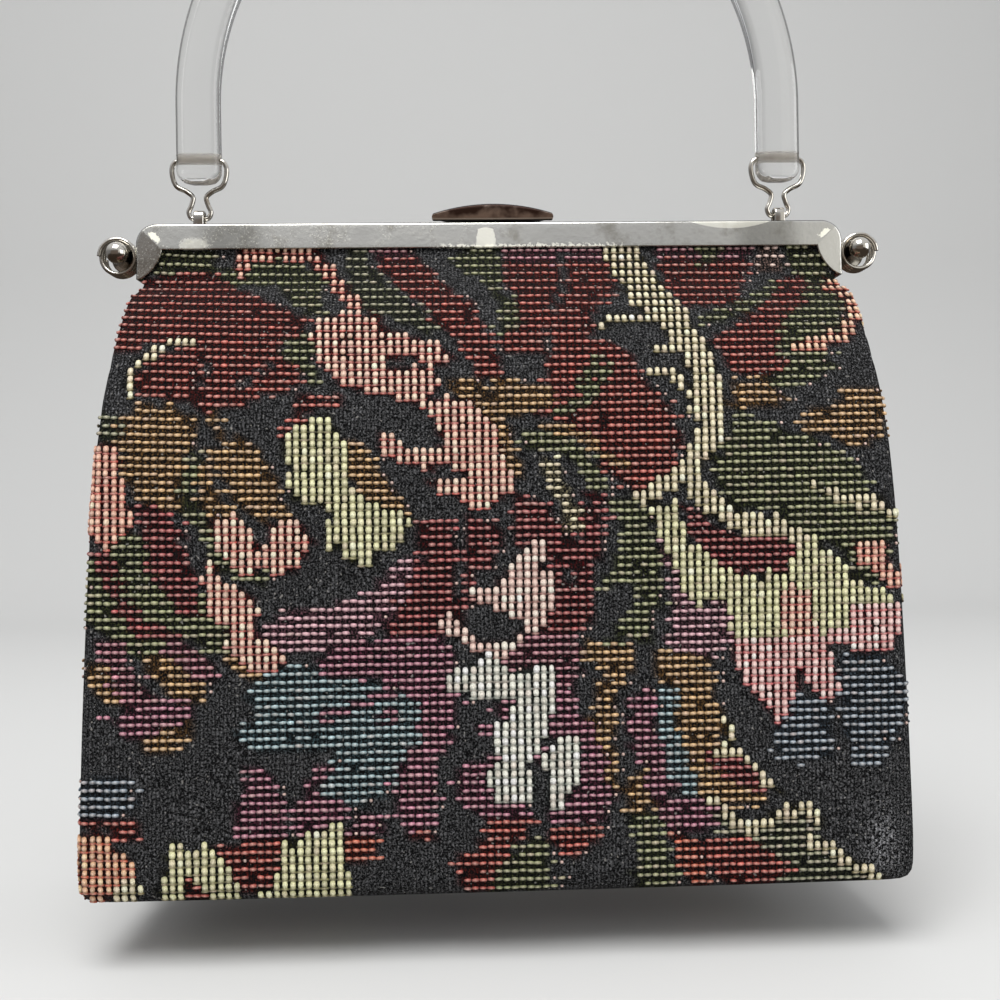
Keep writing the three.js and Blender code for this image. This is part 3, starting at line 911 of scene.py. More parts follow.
# One row for each level: drop below the frame's top, half width at the crease, half depth at the crease, half
# depth at the middle, how soon the panel falls off to the crease, and how far the side folds in.
LEVELS = np.array([
    (2.2, 121.2, 8.1, 8.1, 2, 7),
    (7.5, 124.9, 8.1, 8.2, 2, 8),
    (10, 124.9, 8.1, 8.6, 2, 8),
    (14, 124.9, 8.1, 11, 2, 9),
    (21.5, 125.2, 8.4, 16.5, 2, 10),
    (28, 127.9, 15.5, 21.5, 2.2, 14),
    (38, 128.6, 23.5, 28, 2.6, 19),
    (55, 129.8, 32, 35, 3, 22),
    (75, 131.3, 38, 40.2, 3, 20.5),
    (110, 132.7, 42.5, 44.2, 3, 14.5),
    (150, 134, 44.5, 46, 3, 8.5),
    (190, 135, 45.8, 47, 3, 4),
    (215, 135.5, 46, 47, 3, 2),
    (222, 135.4, 45.6, 46.6, 3, 1.5),
    (226.2, 134, 43.9, 44.9, 3, 1),
    (228, 131, 40.6, 41.6, 3, 0.5),
])

LEVEL_PLACES = np.concatenate([[0], np.cumsum(np.hypot(np.diff(LEVELS[:, 0]), np.diff(LEVELS[:, 3])))])
CLOTH_LENGTH = LEVEL_PLACES[-1]


def gentle_slopes(knots, values):
    """Slopes that keep a cubic between its knots' values: the harmonic mean of the slopes on both sides."""
    rise = np.diff(values, axis=0) / np.diff(knots)[:, None]
    before, after = rise[:-1], rise[1:]
    same = before * after > 0
    total = np.where(same, before + after, 1.0)
    middle = np.where(same, 2 * before * after / total, 0.0)
    return np.vstack([rise[:1], middle, rise[-1:]])


LEVEL_SLOPES = gentle_slopes(LEVEL_PLACES, LEVELS)


def level_at(down):
    """The row of levels at a distance down the cloth: a cubic between the rows of the table."""
    return hermite(LEVEL_PLACES, LEVELS, LEVEL_SLOPES, np.clip(down, 0, CLOTH_LENGTH))


def eased(place, start, stop):
    """Smooth step from 0 at start to 1 at stop."""
    share = np.clip((place - start) / (stop - start), 0, 1)
    return share * share * (3 - 2 * share)


def girth_half(down):
    """Distance along the cloth from a panel's middle to the side seam."""
    row = level_at(down)
    return row[..., 1] + np.hypot(row[..., 2], row[..., 5])


def sharp_cloth(along, down):
    """x, depth and drop of one half's cloth, with a sharp side crease.

    along runs from the panel's middle past the crease to the side seam, down runs from the mouth to the base.
    The panel is an arch that falls off to the crease as a power of x. The side folds in by its tuck.
    """
    drop, width, edge, middle, power, tuck = np.moveaxis(level_at(down), -1, 0)
    inward = np.abs(along) - width
    share = 1 - inward / np.hypot(edge, tuck)
    x = np.clip(along, -width, width)
    panel = edge + (middle - edge) * (1 - np.abs(x / width) ** power)
    folded = np.sign(along) * (width - tuck * (1 - np.clip(np.abs(share), 0, 1)) ** TUCK_CURVE)
    flank = inward > 0
    return np.where(flank, folded, x), np.where(flank, edge * share, panel), drop


def cloth_relief(along, down):
    """How far the loose cloth stands out of its plain shape, in millimetres.

    Slow waves run over the panel: sines across and down it whose lengths don't match, a few tenths of a
    millimetre high. A groove with a bell curve's section lies inside each crease of the lower half.
    """
    width = level_at(down)[..., 1]
    near_base = eased(down, *(CLOTH_LENGTH - np.array(LOOSE_FROM_BASE)))
    loose = eased(down, *LOOSE_FROM_MOUTH) * (1 - near_base)
    on_panel = 1 - eased(np.abs(along), width - WAVE_MARGIN[0], width - WAVE_MARGIN[1])
    wave = np.sin(along / 23 + 0.7) * np.sin(down / 31 + 1.1) + 0.6 * np.sin(along / 11 - down / 17)
    from_groove = (np.abs(along) - width + GROOVE_INSET) / GROOVE_WIDTH
    groove = np.exp(-(from_groove**2)) * eased(down, *GROOVE_START)
    return loose * (WAVE_HEIGHT * wave * on_panel - GROOVE_DEPTH * groove)


def cloth_point(along, down, facing):
    """A point of the hanging cloth in millimetres: the sharp shape with its relief, and with soft creases.

    A crease is soft because the shape is a weighted mean over a few millimetres along the cloth, fewer at the
    mouth. The whole leans sideways towards the base.
    """
    soft = np.minimum(CREASE_SOFTNESS, MOUTH_SOFTNESS + SOFTNESS_GROWTH * down)
    x = depth = drop = 0
    for step, weight in SOFTENING:
        near = sharp_cloth(along + step * soft, down)
        x = x + weight * near[0]
        depth = depth + weight * near[1]
        drop = drop + weight * near[2]
    depth = depth + cloth_relief(along, down)
    x = x + LEAN_AT_BASE * eased(drop, 0, CLOTH_DROP)
    return np.stack([x, facing * depth, FRAME_TOP - drop], -1)


def base_point(x, y):
    """A point of the flat base, which has leant sideways with the cloth."""
    return np.stack([x + LEAN_AT_BASE, y, np.full_like(x, BASE_HEIGHT)], -1)


def cloth_shell():
    """The whole cloth as one open shell: rings round both halves from the mouth down, then in over the base.

    Over the base each ring is drawn in evenly, and the last one lies on the middle line.
    """
    half_count = 112
    neck = 30
    down = np.concatenate([np.linspace(0, neck, 16)[:-1], np.linspace(neck, CLOTH_LENGTH, 92)])
    share = np.linspace(-1, 1, half_count + 1)
    along = girth_half(down)[:, None] * share
    rows = np.broadcast_to(down[:, None], along.shape)
    front = cloth_point(along, rows, -1)
    back = cloth_point(along, rows, 1)
    walls = np.concatenate([front[:, :-1], back[:, :0:-1]], 1)
    last = walls[-1]
    drawn = np.linspace(0, 1, 14)[1:, None]
    edge, width = LEVELS[-1, 2], LEVELS[-1, 1]
    x = (last[:, 0] - LEAN_AT_BASE) * (1 - drawn * edge / width)
    y = last[:, 1] * (1 - drawn)
    base = base_point(x, y)
    rings = np.concatenate([walls, base])
    girth = np.concatenate([along[:, :-1], 2 * girth_half(down)[:, None] - along[:, :0:-1]], 1)
    across = np.concatenate([girth, np.broadcast_to(girth[-1], x.shape)])
    length = np.concatenate([down, CLOTH_LENGTH + edge * drawn[:, 0]])
    return rings, across, np.broadcast_to(length[:, None], across.shape)


def add_uv(mesh, across, down):
    """Gives each face corner the cloth's own coordinates in millimetres."""
    corners = np.zeros(len(mesh.loops), np.int32)
    mesh.loops.foreach_get("vertex_index", corners)
    layer = mesh.uv_layers.new(name="cloth")
    flat = np.stack([across.ravel()[corners], down.ravel()[corners]], 1)
    layer.uv.foreach_set("vector", flat.astype(np.float32).ravel())


def build_cloth():
    """The cloth as a piece: the shell, merged along its closing lines, with a wall that grows inwards."""
    rings, across, down = cloth_shell()
    points, faces = skin(rings, ends=False)
    mesh = mesh_of("tapestry_cloth", [(points, faces)])
    add_uv(mesh, across, down)
    close_up(mesh, 2e-5)
    cloth = add_piece(mesh, GROUND, "bag", ["body_front", "body_back"], sharp=180)
    wall = cloth.modifiers.new("wall", "SOLIDIFY")
    wall.thickness = CLOTH_THICKNESS * MM
    wall.offset = -1
    return cloth


cloth = build_cloth()


# Threads: colour of the stitch, kind of stitch, and colour of the small tie between two upright stitches

THREADS = {
    "ground": ((30, 30, 31), "bare", None),
    "red": ((184, 82, 70), "dash", None),
    "crimson": ((164, 56, 64), "dash", None),
    "rust": ((192, 96, 64), "dash", None),
    "rose": ((180, 118, 134), "dash", None),
    "mauve": ((210, 166, 178), "dash", None),
    "plum": ((182, 118, 142), "dash", None),
    "blue": ((152, 178, 184), "dash", None),
    "slate": ((142, 156, 168), "dash", None),
    "gold": ((206, 170, 120), "dash", None),
    "green": ((148, 154, 112), "dash", None),
    "olive": ((146, 150, 122), "dash", None),
    "pale": ((222, 196, 186), "dash", None),
    "ivory": ((226, 216, 184), "dash", None),
    "pink": ((246, 208, 186), "bead", (178, 66, 58)),
    "blush": ((248, 208, 204), "bead", (190, 84, 92)),
    "salmon": ((240, 190, 166), "bead", (186, 72, 56)),
    "peach": ((240, 200, 168), "bead", (190, 88, 60)),
    "orange": ((238, 192, 154), "bead", (196, 92, 56)),
    "cream": ((240, 231, 198), "chain", (130, 122, 70)),
    "celery": ((230, 230, 184), "chain", (124, 124, 68)),
    "shell": ((252, 220, 208), "chain", (146, 92, 86)),
    "frost": ((242, 244, 232), "chain", (136, 146, 138)),
}
THREAD_NAMES = list(THREADS)
PALE_FLUFF = np.array(linear(206, 178, 170)[:3])
BARE_GREY = (116, 116, 118)
UNDER_SHARE = 0.4
UNDER_DEPTH = 1.6
WORN_PATCH = (884, 842, 16, 30)
WORN_LIGHT = 2.2
RAGGED_SIDES = 1.6
RAGGED_ENDS = 1.2
FLAT_STRAY = 5.0
DOT_SHARE = 0.35
OFF_PLACE = 0.07
OFF_SIZE = 0.07
OFF_SHADE = 0.16
OFF_TILT = 0.06
FADED_SHARE = 0.25
FADED_DEPTH = 0.35
BRIGHTEST = 0.95
# How strongly the painted shade darkens a stitch's flanks and tips, by the way it lies
SHADE_POWER = {"across": 1.0, "down": 0.75}

# The woven picture, charted on a square of 1000 by 1000 that lies over the front as the camera sees
# it. An area is a closed outline. A line has a width. What comes later lies over what came before.


def area(thread, *outline):
    """All stitches inside a closed outline."""
    return thread, None, np.array(outline, float)


def line(thread, width, *places):
    """All stitches along a line through the places."""
    return thread, width, np.array(places, float)


UPPER_LEFT = [
    area("green", (155, 250), (215, 250), (218, 275), (160, 277), (148, 270)),
    area("green", (222, 270), (262, 258), (300, 262), (325, 275), (322, 300), (328, 316), (310, 313),
         (290, 300), (275, 286), (222, 286)),
    area("red", (160, 274), (215, 273), (238, 290), (275, 302), (308, 320), (296, 338), (275, 348),
         (300, 362), (303, 383), (268, 395), (240, 405), (200, 413), (194, 398), (145, 397), (130, 384),
         (150, 362), (185, 346), (190, 338), (150, 345), (112, 356), (108, 345), (118, 315),
         (130, 290)),
    line("salmon", 14, (243, 270), (244, 253), (275, 252), (310, 254), (328, 272), (342, 290),
         (354, 306)),
    line("cream", 9, (190, 340), (172, 343), (152, 353), (136, 366), (129, 380), (130, 391)),
    area("green", (300, 333), (318, 338), (313, 352), (316, 372), (325, 389), (308, 386), (300, 366),
         (284, 361), (284, 343)),
    line("ground", 7, (206, 358), (199, 380), (194, 403)),
    line("ground", 6, (270, 365), (254, 375), (240, 388)),
    line("gold", 11, (214, 411), (217, 433)),
    area("red", (300, 396), (348, 397), (332, 408), (312, 413), (296, 428), (284, 442), (281, 434),
         (290, 418)),
    area("olive", (346, 250), (366, 250), (374, 272), (398, 290), (420, 310), (440, 328), (425, 333),
         (398, 318), (362, 308), (352, 290)),
    area("red", (373, 250), (412, 250), (428, 268), (445, 285), (468, 300), (481, 320), (491, 340),
         (497, 358), (505, 378), (480, 378), (466, 355), (455, 336), (436, 321), (416, 300), (394, 286),
         (380, 270)),
    area("rose", (372, 246), (412, 246), (414, 259), (376, 259)),
    area("green", (470, 246), (498, 246), (503, 290), (520, 310), (520, 342), (503, 340), (498, 300),
         (483, 280), (448, 263)),
    area("red", (503, 246), (604, 246), (616, 292), (592, 312), (588, 338), (612, 342), (642, 364),
         (646, 385), (665, 400), (680, 432), (674, 470), (655, 492), (625, 488), (604, 470), (590, 440),
         (560, 418), (528, 414), (540, 385), (548, 372), (530, 352), (502, 350), (503, 338), (520, 330),
         (518, 300), (505, 285)),
    area("rose", (503, 246), (604, 246), (606, 262), (503, 262)),
    line("ground", 7, (563, 250), (564, 285), (552, 310), (547, 345), (540, 370)),
    area("green", (600, 350), (612, 372), (600, 392), (585, 405), (560, 417), (545, 414), (575, 398),
         (582, 375)),
    area("green", (520, 432), (560, 430), (585, 448), (602, 470), (605, 490), (592, 498), (585, 475),
         (560, 455), (522, 447)),
    line("gold", 9, (545, 427), (580, 432), (598, 452), (622, 463)),
    line("ivory", 16, (548, 462), (556, 480), (566, 500), (574, 528)),
    area("gold", (445, 381), (480, 381), (490, 398), (505, 418), (516, 440), (522, 476), (508, 478),
         (500, 450), (490, 424), (470, 402), (448, 388)),
    area("gold", (492, 380), (510, 380), (545, 386), (562, 397), (540, 408), (515, 418), (492, 414)),
    area("pink", (308, 335), (318, 320), (345, 312), (378, 313), (384, 330), (440, 344), (453, 360),
         (432, 369), (440, 386), (428, 398), (470, 400), (490, 418), (499, 445), (504, 466), (516, 478),
         (508, 494), (490, 509), (468, 506), (450, 492), (424, 484), (445, 476), (468, 478), (455, 462),
         (440, 440), (436, 415), (410, 402), (392, 396), (360, 392), (335, 382), (322, 366)),
    area("ground", (385, 357), (428, 357), (428, 366), (385, 367)),
    line("pink", 17, (385, 440), (393, 449), (408, 457), (430, 460), (446, 455)),
]

UPPER_RIGHT = [
    line("cream", 32, (618, 250), (640, 285), (668, 315)),
    line("cream", 29, (668, 315), (695, 350), (711, 395)),
    line("cream", 24, (711, 395), (708, 440), (692, 464)),
    line("cream", 16, (692, 464), (668, 482), (638, 497)),
    line("cream", 10, (602, 325), (612, 316), (650, 318), (662, 322)),
    line("cream", 8, (656, 348), (684, 350)),
    line("cream", 9, (652, 370), (672, 371), (686, 386), (694, 406)),
    area("red", (655, 246), (697, 246), (700, 268), (722, 258), (752, 246), (745, 276), (738, 300),
         (715, 307), (688, 306), (672, 290), (658, 268)),
    area("rose", (655, 246), (752, 246), (748, 259), (656, 259)),
    area("green", (701, 246), (722, 246), (720, 262), (701, 268)),
    line("green", 12, (775, 286), (750, 304), (706, 320)),
    area("pale", (757, 246), (778, 246), (778, 272), (757, 272)),
    area("red", (788, 276), (814, 274), (802, 300), (790, 314), (778, 330), (778, 345), (792, 364),
         (770, 376), (732, 375), (718, 352), (710, 335), (735, 325), (755, 312), (772, 296)),
    area("green", (785, 246), (812, 246), (830, 272), (845, 295), (842, 325), (818, 345), (838, 368),
         (812, 382), (775, 392), (766, 376), (792, 362), (778, 345), (782, 318), (800, 300), (812, 282),
         (786, 268)),
    line("peach", 14, (830, 284), (850, 297), (855, 316), (842, 334), (822, 344), (800, 347)),
    area("gold", (736, 378), (768, 378), (784, 398), (780, 406), (730, 406)),
    area("gold", (845, 388), (882, 388), (886, 420), (880, 438), (850, 448), (835, 438), (800, 428),
         (806, 412), (838, 404)),
    area("green", (722, 438), (740, 412), (782, 424), (786, 436), (815, 438), (838, 452), (862, 466),
         (868, 494), (894, 520), (893, 545), (880, 585), (860, 578), (845, 556), (825, 540), (800, 530),
         (775, 512), (735, 505), (712, 480)),
    line("cream", 8, (811, 482), (832, 492), (858, 500), (876, 500), (893, 515)),
    area("salmon", (848, 545), (868, 537), (882, 542), (892, 560), (900, 575), (898, 590), (882, 580),
         (862, 562)),
]

MIDDLE_LEFT = [
    area("celery", (283, 445), (300, 425), (318, 416), (332, 418), (345, 450), (350, 485), (370, 500),
         (405, 510), (412, 520), (405, 545), (380, 550), (372, 566), (355, 565), (340, 550), (325, 545),
         (322, 530), (338, 515), (325, 508), (305, 505), (285, 495), (290, 470)),
    area("gold", (345, 440), (362, 438), (376, 470), (396, 495), (414, 516), (386, 509), (360, 491),
         (346, 470)),
    area("gold", (136, 402), (182, 408), (193, 425), (190, 446), (180, 470), (178, 513), (150, 513),
         (130, 490), (121, 470), (120, 425)),
    area("olive", (97, 414), (120, 414), (120, 440), (97, 440)),
    area("salmon", (88, 470), (97, 447), (118, 442), (122, 480), (131, 510), (126, 535), (118, 550),
         (103, 548), (92, 535), (84, 515)),
    area("gold", (205, 450), (240, 438), (262, 450), (278, 478), (282, 505), (294, 519), (262, 521),
         (240, 508), (228, 490), (216, 470)),
    area("gold", (196, 464), (212, 466), (216, 490), (236, 517), (206, 517), (197, 500)),
    line("green", 15, (194, 458), (186, 490), (192, 515), (208, 540), (228, 568), (262, 582)),
    area("pink", (210, 522), (235, 514), (250, 525), (256, 545), (263, 556), (250, 573), (237, 573),
         (231, 558), (214, 546)),
    area("pink", (261, 566), (267, 535), (280, 520), (298, 517), (311, 540), (306, 561), (270, 576)),
    area("green", (82, 560), (100, 555), (125, 530), (150, 545), (160, 590), (180, 605), (215, 615),
         (228, 650), (212, 658), (190, 640), (160, 630), (165, 655), (138, 660), (112, 640), (85, 620)),
    area("green", (195, 595), (232, 600), (232, 660), (205, 650)),
    area("pink", (202, 562), (216, 560), (222, 582), (245, 590), (258, 605), (256, 635), (268, 642),
         (289, 658), (270, 673), (255, 681), (241, 666), (229, 645), (227, 622), (207, 618)),
    area("crimson", (135, 504), (165, 508), (180, 530), (189, 560), (196, 590), (203, 617), (182, 613),
         (159, 586), (145, 550)),
    line("crimson", 18, (102, 560), (116, 590), (130, 612), (138, 632)),
    line("crimson", 12, (150, 626), (178, 640)),
    area("rose", (98, 640), (120, 640), (132, 672), (152, 692), (150, 710), (122, 708), (108, 680)),
    area("rose", (160, 640), (180, 640), (205, 660), (222, 680), (190, 682), (172, 660)),
    area("gold", (142, 657), (178, 658), (186, 678), (206, 688), (200, 704), (180, 704), (160, 686),
         (148, 672)),
    area("gold", (90, 656), (106, 660), (108, 680), (124, 702), (100, 704), (88, 684)),
    area("gold", (222, 656), (236, 658), (262, 676), (262, 682), (236, 676)),
    area("mauve", (258, 634), (285, 612), (350, 603), (385, 580), (415, 550), (421, 566), (400, 602),
         (370, 641), (300, 656), (268, 646)),
    area("plum", (155, 700), (190, 700), (192, 720), (175, 735), (150, 745), (122, 734), (108, 718)),
    area("gold", (192, 718), (190, 735), (176, 752), (138, 752), (152, 738), (172, 728)),
]

MIDDLE = [
    area("crimson", (418, 519), (500, 519), (500, 545), (490, 566), (475, 575), (474, 600), (455, 622),
         (430, 640), (380, 646), (398, 602), (420, 565)),
    line("ground", 8, (461, 520), (463, 560), (458, 600)),
    area("plum", (340, 645), (440, 632), (452, 660), (456, 700), (452, 740), (438, 765), (433, 800),
         (440, 822), (430, 838), (408, 832), (396, 815), (394, 780), (404, 755), (420, 735), (420, 700),
         (398, 690), (372, 680), (322, 676), (318, 662)),
    area("blue", (262, 672), (300, 664), (330, 678), (372, 682), (418, 700), (418, 732), (408, 750),
         (398, 772), (384, 792), (360, 808), (338, 808), (315, 800), (332, 756), (345, 744), (300, 752),
         (258, 752), (236, 738), (258, 716), (246, 694)),
    line("plum", 10, (318, 720), (345, 710), (372, 698), (400, 690)),
    area("plum", (382, 704), (398, 704), (398, 725), (380, 725)),
    area("crimson", (515, 495), (545, 500), (560, 520), (572, 545), (570, 580), (600, 595), (595, 620),
         (580, 632), (548, 640), (545, 620), (556, 600), (552, 570), (545, 560), (530, 545), (518, 548),
         (512, 530)),
    area("crimson", (588, 490), (604, 500), (606, 540), (596, 560), (588, 592), (578, 585), (576, 540),
         (584, 515)),
    area("shell", (470, 590), (495, 584), (505, 571), (518, 555), (530, 545), (546, 537), (546, 562),
         (538, 572), (552, 568), (555, 600), (546, 622), (540, 641), (526, 641), (521, 620), (504, 613),
         (480, 603)),
    line("shell", 13, (448, 621), (465, 636), (485, 650), (512, 650), (524, 636)),
    area("rose", (528, 634), (578, 634), (582, 655), (576, 695), (556, 700), (556, 665), (505, 672),
         (503, 660)),
    area("plum", (456, 780), (472, 762), (505, 756), (488, 775), (495, 802), (530, 806), (522, 820),
         (478, 820), (460, 800)),
    area("plum", (480, 724), (506, 724), (500, 736), (472, 738)),
    area("plum", (490, 712), (518, 690), (528, 690), (510, 712), (500, 720)),
    area("plum", (522, 748), (546, 742), (546, 762), (522, 764)),
    area("plum", (556, 684), (574, 684), (578, 715), (592, 722), (600, 745), (612, 765), (614, 800),
         (600, 820), (545, 826), (545, 812), (566, 805), (582, 765), (580, 738), (548, 738),
         (545, 722)),
    area("frost", (448, 678), (465, 664), (480, 668), (480, 655), (500, 655), (505, 672), (530, 672),
         (540, 660), (556, 668), (556, 700), (548, 730), (538, 745), (530, 765), (540, 795), (525, 803),
         (495, 802), (487, 775), (500, 760), (492, 735), (505, 720), (512, 700), (500, 700), (475, 700),
         (468, 690), (455, 692)),
    area("frost", (545, 755), (555, 742), (572, 735), (582, 738), (580, 765), (572, 785), (565, 805),
         (545, 812), (548, 785)),
    area("red", (545, 826), (600, 826), (598, 842), (568, 858), (555, 848)),
    area("red", (412, 830), (434, 830), (430, 840), (412, 840)),
    area("gold", (582, 640), (640, 646), (632, 664), (625, 680), (616, 695), (616, 710), (610, 740),
         (618, 750), (621, 792), (613, 792), (603, 755), (595, 735), (588, 705), (598, 690), (606, 675),
         (612, 662), (585, 662)),
    area("green", (612, 498), (640, 498), (656, 540), (660, 600), (648, 640), (605, 646), (625, 622),
         (640, 600), (622, 572), (600, 600), (604, 585), (614, 565), (620, 530)),
]

LOWER_RIGHT = [
    area("mauve", (658, 538), (672, 550), (686, 586), (700, 604), (735, 598), (741, 630), (722, 650),
         (690, 661), (666, 646), (674, 612), (668, 576)),
    area("celery", (650, 508), (675, 500), (690, 540), (712, 555), (735, 570), (758, 580), (758, 560),
         (785, 570), (797, 535), (810, 530), (830, 550), (848, 572), (868, 585), (895, 595), (900, 626),
         (820, 634), (733, 642), (728, 600), (712, 600), (695, 605), (680, 585), (668, 550),
         (655, 530)),
    area("blush", (733, 640), (820, 632), (900, 624), (900, 630), (890, 650), (860, 652), (835, 640),
         (828, 645), (835, 665), (838, 695), (828, 705), (812, 690), (800, 665), (795, 690), (790, 720),
         (772, 725), (768, 705), (755, 695), (742, 670)),
    area("pink", (780, 588), (812, 585), (815, 630), (786, 640)),
    area("blush", (850, 602), (898, 602), (900, 626), (852, 624)),
    area("crimson", (682, 502), (700, 514), (722, 530), (740, 538), (790, 535), (796, 550), (788, 573),
         (765, 571), (745, 576), (722, 568), (705, 550), (690, 535)),
    line("cream", 18, (697, 487), (722, 512), (745, 522), (775, 526), (800, 540)),
    area("gold", (656, 648), (706, 656), (713, 684), (712, 700), (720, 708), (722, 735), (718, 758),
         (735, 778), (770, 796), (760, 806), (700, 806), (695, 785), (688, 755), (678, 730), (677, 700),
         (660, 686)),
    area("blue", (656, 684), (678, 690), (679, 735), (686, 760), (697, 780), (700, 798), (686, 798),
         (668, 765), (662, 735)),
    area("plum", (634, 698), (652, 684), (656, 730), (664, 755), (672, 785), (672, 800), (650, 800),
         (645, 765), (630, 748)),
    area("plum", (655, 800), (714, 800), (722, 822), (700, 832), (664, 830)),
    area("crimson", (708, 752), (738, 752), (770, 780), (772, 790), (750, 790), (730, 778), (712, 770)),
    line("cream", 8, (722, 712), (731, 735), (718, 755)),
    line("cream", 8, (725, 748), (745, 760), (760, 775), (778, 788)),
    area("olive", (705, 808), (728, 818), (745, 830), (770, 820), (785, 812), (815, 815), (820, 835),
         (840, 850), (860, 870), (895, 882), (895, 892), (770, 892), (790, 868), (760, 855), (750, 838),
         (725, 835)),
    area("red", (696, 838), (750, 838), (772, 852), (792, 866), (770, 890), (735, 890), (712, 866)),
    area("rust", (664, 830), (690, 834), (700, 855), (712, 884), (690, 890), (680, 860)),
    area("green", (632, 812), (658, 814), (664, 845), (680, 866), (672, 890), (636, 890)),
    area("gold", (636, 770), (650, 770), (652, 810), (628, 810), (628, 790)),
    line("cream", 9, (711, 797), (728, 815), (746, 828), (765, 825), (782, 810), (811, 809),
         (819, 824)),
    line("cream", 9, (810, 840), (830, 846), (850, 865), (885, 880)),
    area("slate", (795, 690), (834, 704), (834, 740), (825, 760), (800, 766), (780, 755), (770, 735),
         (778, 724), (792, 714)),
    area("slate", (842, 654), (880, 654), (905, 680), (905, 715), (893, 742), (878, 766), (858, 764),
         (848, 745), (840, 705)),
]

LOWER_LEFT = [
    area("slate", (90, 778), (130, 778), (137, 792), (135, 805), (112, 820), (78, 822), (78, 786)),
    area("red", (110, 822), (143, 822), (140, 845), (112, 842)),
    area("red", (78, 822), (112, 822), (112, 830), (78, 830)),
    area("orange", (78, 838), (86, 831), (108, 838), (122, 855), (136, 870), (122, 882), (108, 897),
         (90, 904), (80, 885)),
    area("cream", (112, 882), (138, 878), (140, 892), (118, 905)),
    area("celery", (160, 890), (168, 865), (176, 833), (190, 858), (205, 845), (222, 850), (238, 872),
         (242, 902), (162, 902)),
    area("red", (185, 880), (206, 880), (206, 900), (185, 900)),
    area("celery", (262, 890), (268, 850), (288, 838), (297, 850), (302, 832), (316, 816), (336, 815),
         (346, 840), (350, 880), (348, 900), (262, 900)),
    area("plum", (250, 768), (268, 770), (285, 800), (286, 838), (236, 838), (236, 806)),
    area("red", (236, 838), (286, 838), (276, 866), (272, 888), (256, 888), (248, 862)),
    area("red", (215, 846), (240, 848), (256, 890), (240, 894), (226, 866)),
    area("plum", (322, 760), (334, 764), (318, 790), (340, 800), (352, 816), (318, 830), (293, 836),
         (292, 812), (305, 795)),
    area("plum", (354, 816), (380, 816), (380, 838), (346, 840)),
    area("rust", (346, 838), (380, 836), (380, 842), (372, 858), (350, 864)),
    area("red", (490, 820), (536, 820), (524, 836), (510, 860), (500, 880), (484, 892), (455, 890),
         (466, 872), (444, 866), (475, 850)),
    area("green", (530, 838), (546, 838), (553, 866), (548, 890), (485, 892), (500, 872), (506, 856)),
]

CHART = UPPER_LEFT + UPPER_RIGHT + MIDDLE_LEFT + MIDDLE + LOWER_RIGHT + LOWER_LEFT


def camera_axes():
    """Right, up and forward of the camera: turned about the upright, then rolled about its own axis."""
    right = np.array([math.cos(CAMERA_TURN), -math.sin(CAMERA_TURN), 0])
    forward = np.array([math.sin(CAMERA_TURN), math.cos(CAMERA_TURN), 0])
    up = np.array([0, 0, 1.0])
    rolled_right = right * math.cos(CAMERA_ROLL) - up * math.sin(CAMERA_ROLL)
    rolled_up = up * math.cos(CAMERA_ROLL) + right * math.sin(CAMERA_ROLL)
    return rolled_right, rolled_up, forward


def chart_place(points):
    """Where points fall on the chart: their place in the camera's view, from its upper left corner."""
    right, up, forward = camera_axes()
    away = points - (CAMERA_AIM - CAMERA_DISTANCE * forward)
    depth = away @ forward
    middle = CHART_SIZE / 2
    scale = CHART_SIZE * CAMERA_LENS / SENSOR
    return middle + scale * (away @ right) / depth, middle - scale * (away @ up) / depth


def inside_area(x, y, outline):
    """True where (x, y) lies in the outline: a ray to the right crosses it an odd number of times."""
    inside = np.zeros(x.shape, bool)
    for (ax, ay), (bx, by) in zip(outline, np.roll(outline, -1, 0)):
        crosses = (ay > y) != (by > y)
        level = by - ay if by != ay else 1.0
        inside ^= crosses & (x < ax + (y - ay) * (bx - ax) / level)
    return inside


def inside_line(x, y, places, width):
    """True where (x, y) is closer to the line through the places than half the width."""
    near = np.full(x.shape, np.inf)
    for (ax, ay), (bx, by) in zip(places[:-1], places[1:]):
        run = np.array([bx - ax, by - ay])
        share = np.clip(((x - ax) * run[0] + (y - ay) * run[1]) / (run @ run), 0, 1)
        near = np.minimum(near, np.hypot(x - ax - share * run[0], y - ay - share * run[1]))
    return near < width / 2


def charted(points, ragged=RAGGED_SIDES):
    """The thread at each point, as its number in THREAD_NAMES; ragged is how far the areas' sides stray."""
    x, y = chart_place(points)
    x = x + dice.normal(0, ragged, x.shape)
    y = y + dice.normal(0, RAGGED_ENDS, y.shape)
    found = np.zeros(x.shape, int)
    for thread, width, places in CHART:
        hit = inside_area(x, y, places) if width is None else inside_line(x, y, places, width)
        found[hit] = THREAD_NAMES.index(thread)
    return found


# Stitches


def grain():
    """A closed grain of unit length, width and height: three rings of five points between two tips."""
    angle = np.linspace(0, 2 * np.pi, 5, endpoint=False) + np.pi / 2
    rings = []
    for along, size in ((-0.36, 0.8), (0, 1.0), (0.36, 0.8)):
        ring = np.stack([np.full(5, along), 0.5 * size * np.cos(angle), 0.5 * size * np.sin(angle)], 1)
        rings.append(ring)
    points = np.vstack(rings + [[(-0.5, 0, 0)], [(0.5, 0, 0)]])
    step = np.arange(5)
    after = (step + 1) % 5
    faces = []
    for start in (0, 5):
        faces += np.stack([start + step, start + after, start + after + 5], 1).tolist()
        faces += np.stack([start + step, start + after + 5, start + step + 5], 1).tolist()
    faces += np.stack([after, step, np.full(5, 15)], 1).tolist()
    faces += np.stack([10 + step, 10 + after, np.full(5, 16)], 1).tolist()
    return points, np.array(faces)


GRAIN_POINTS, GRAIN_FACES = grain()

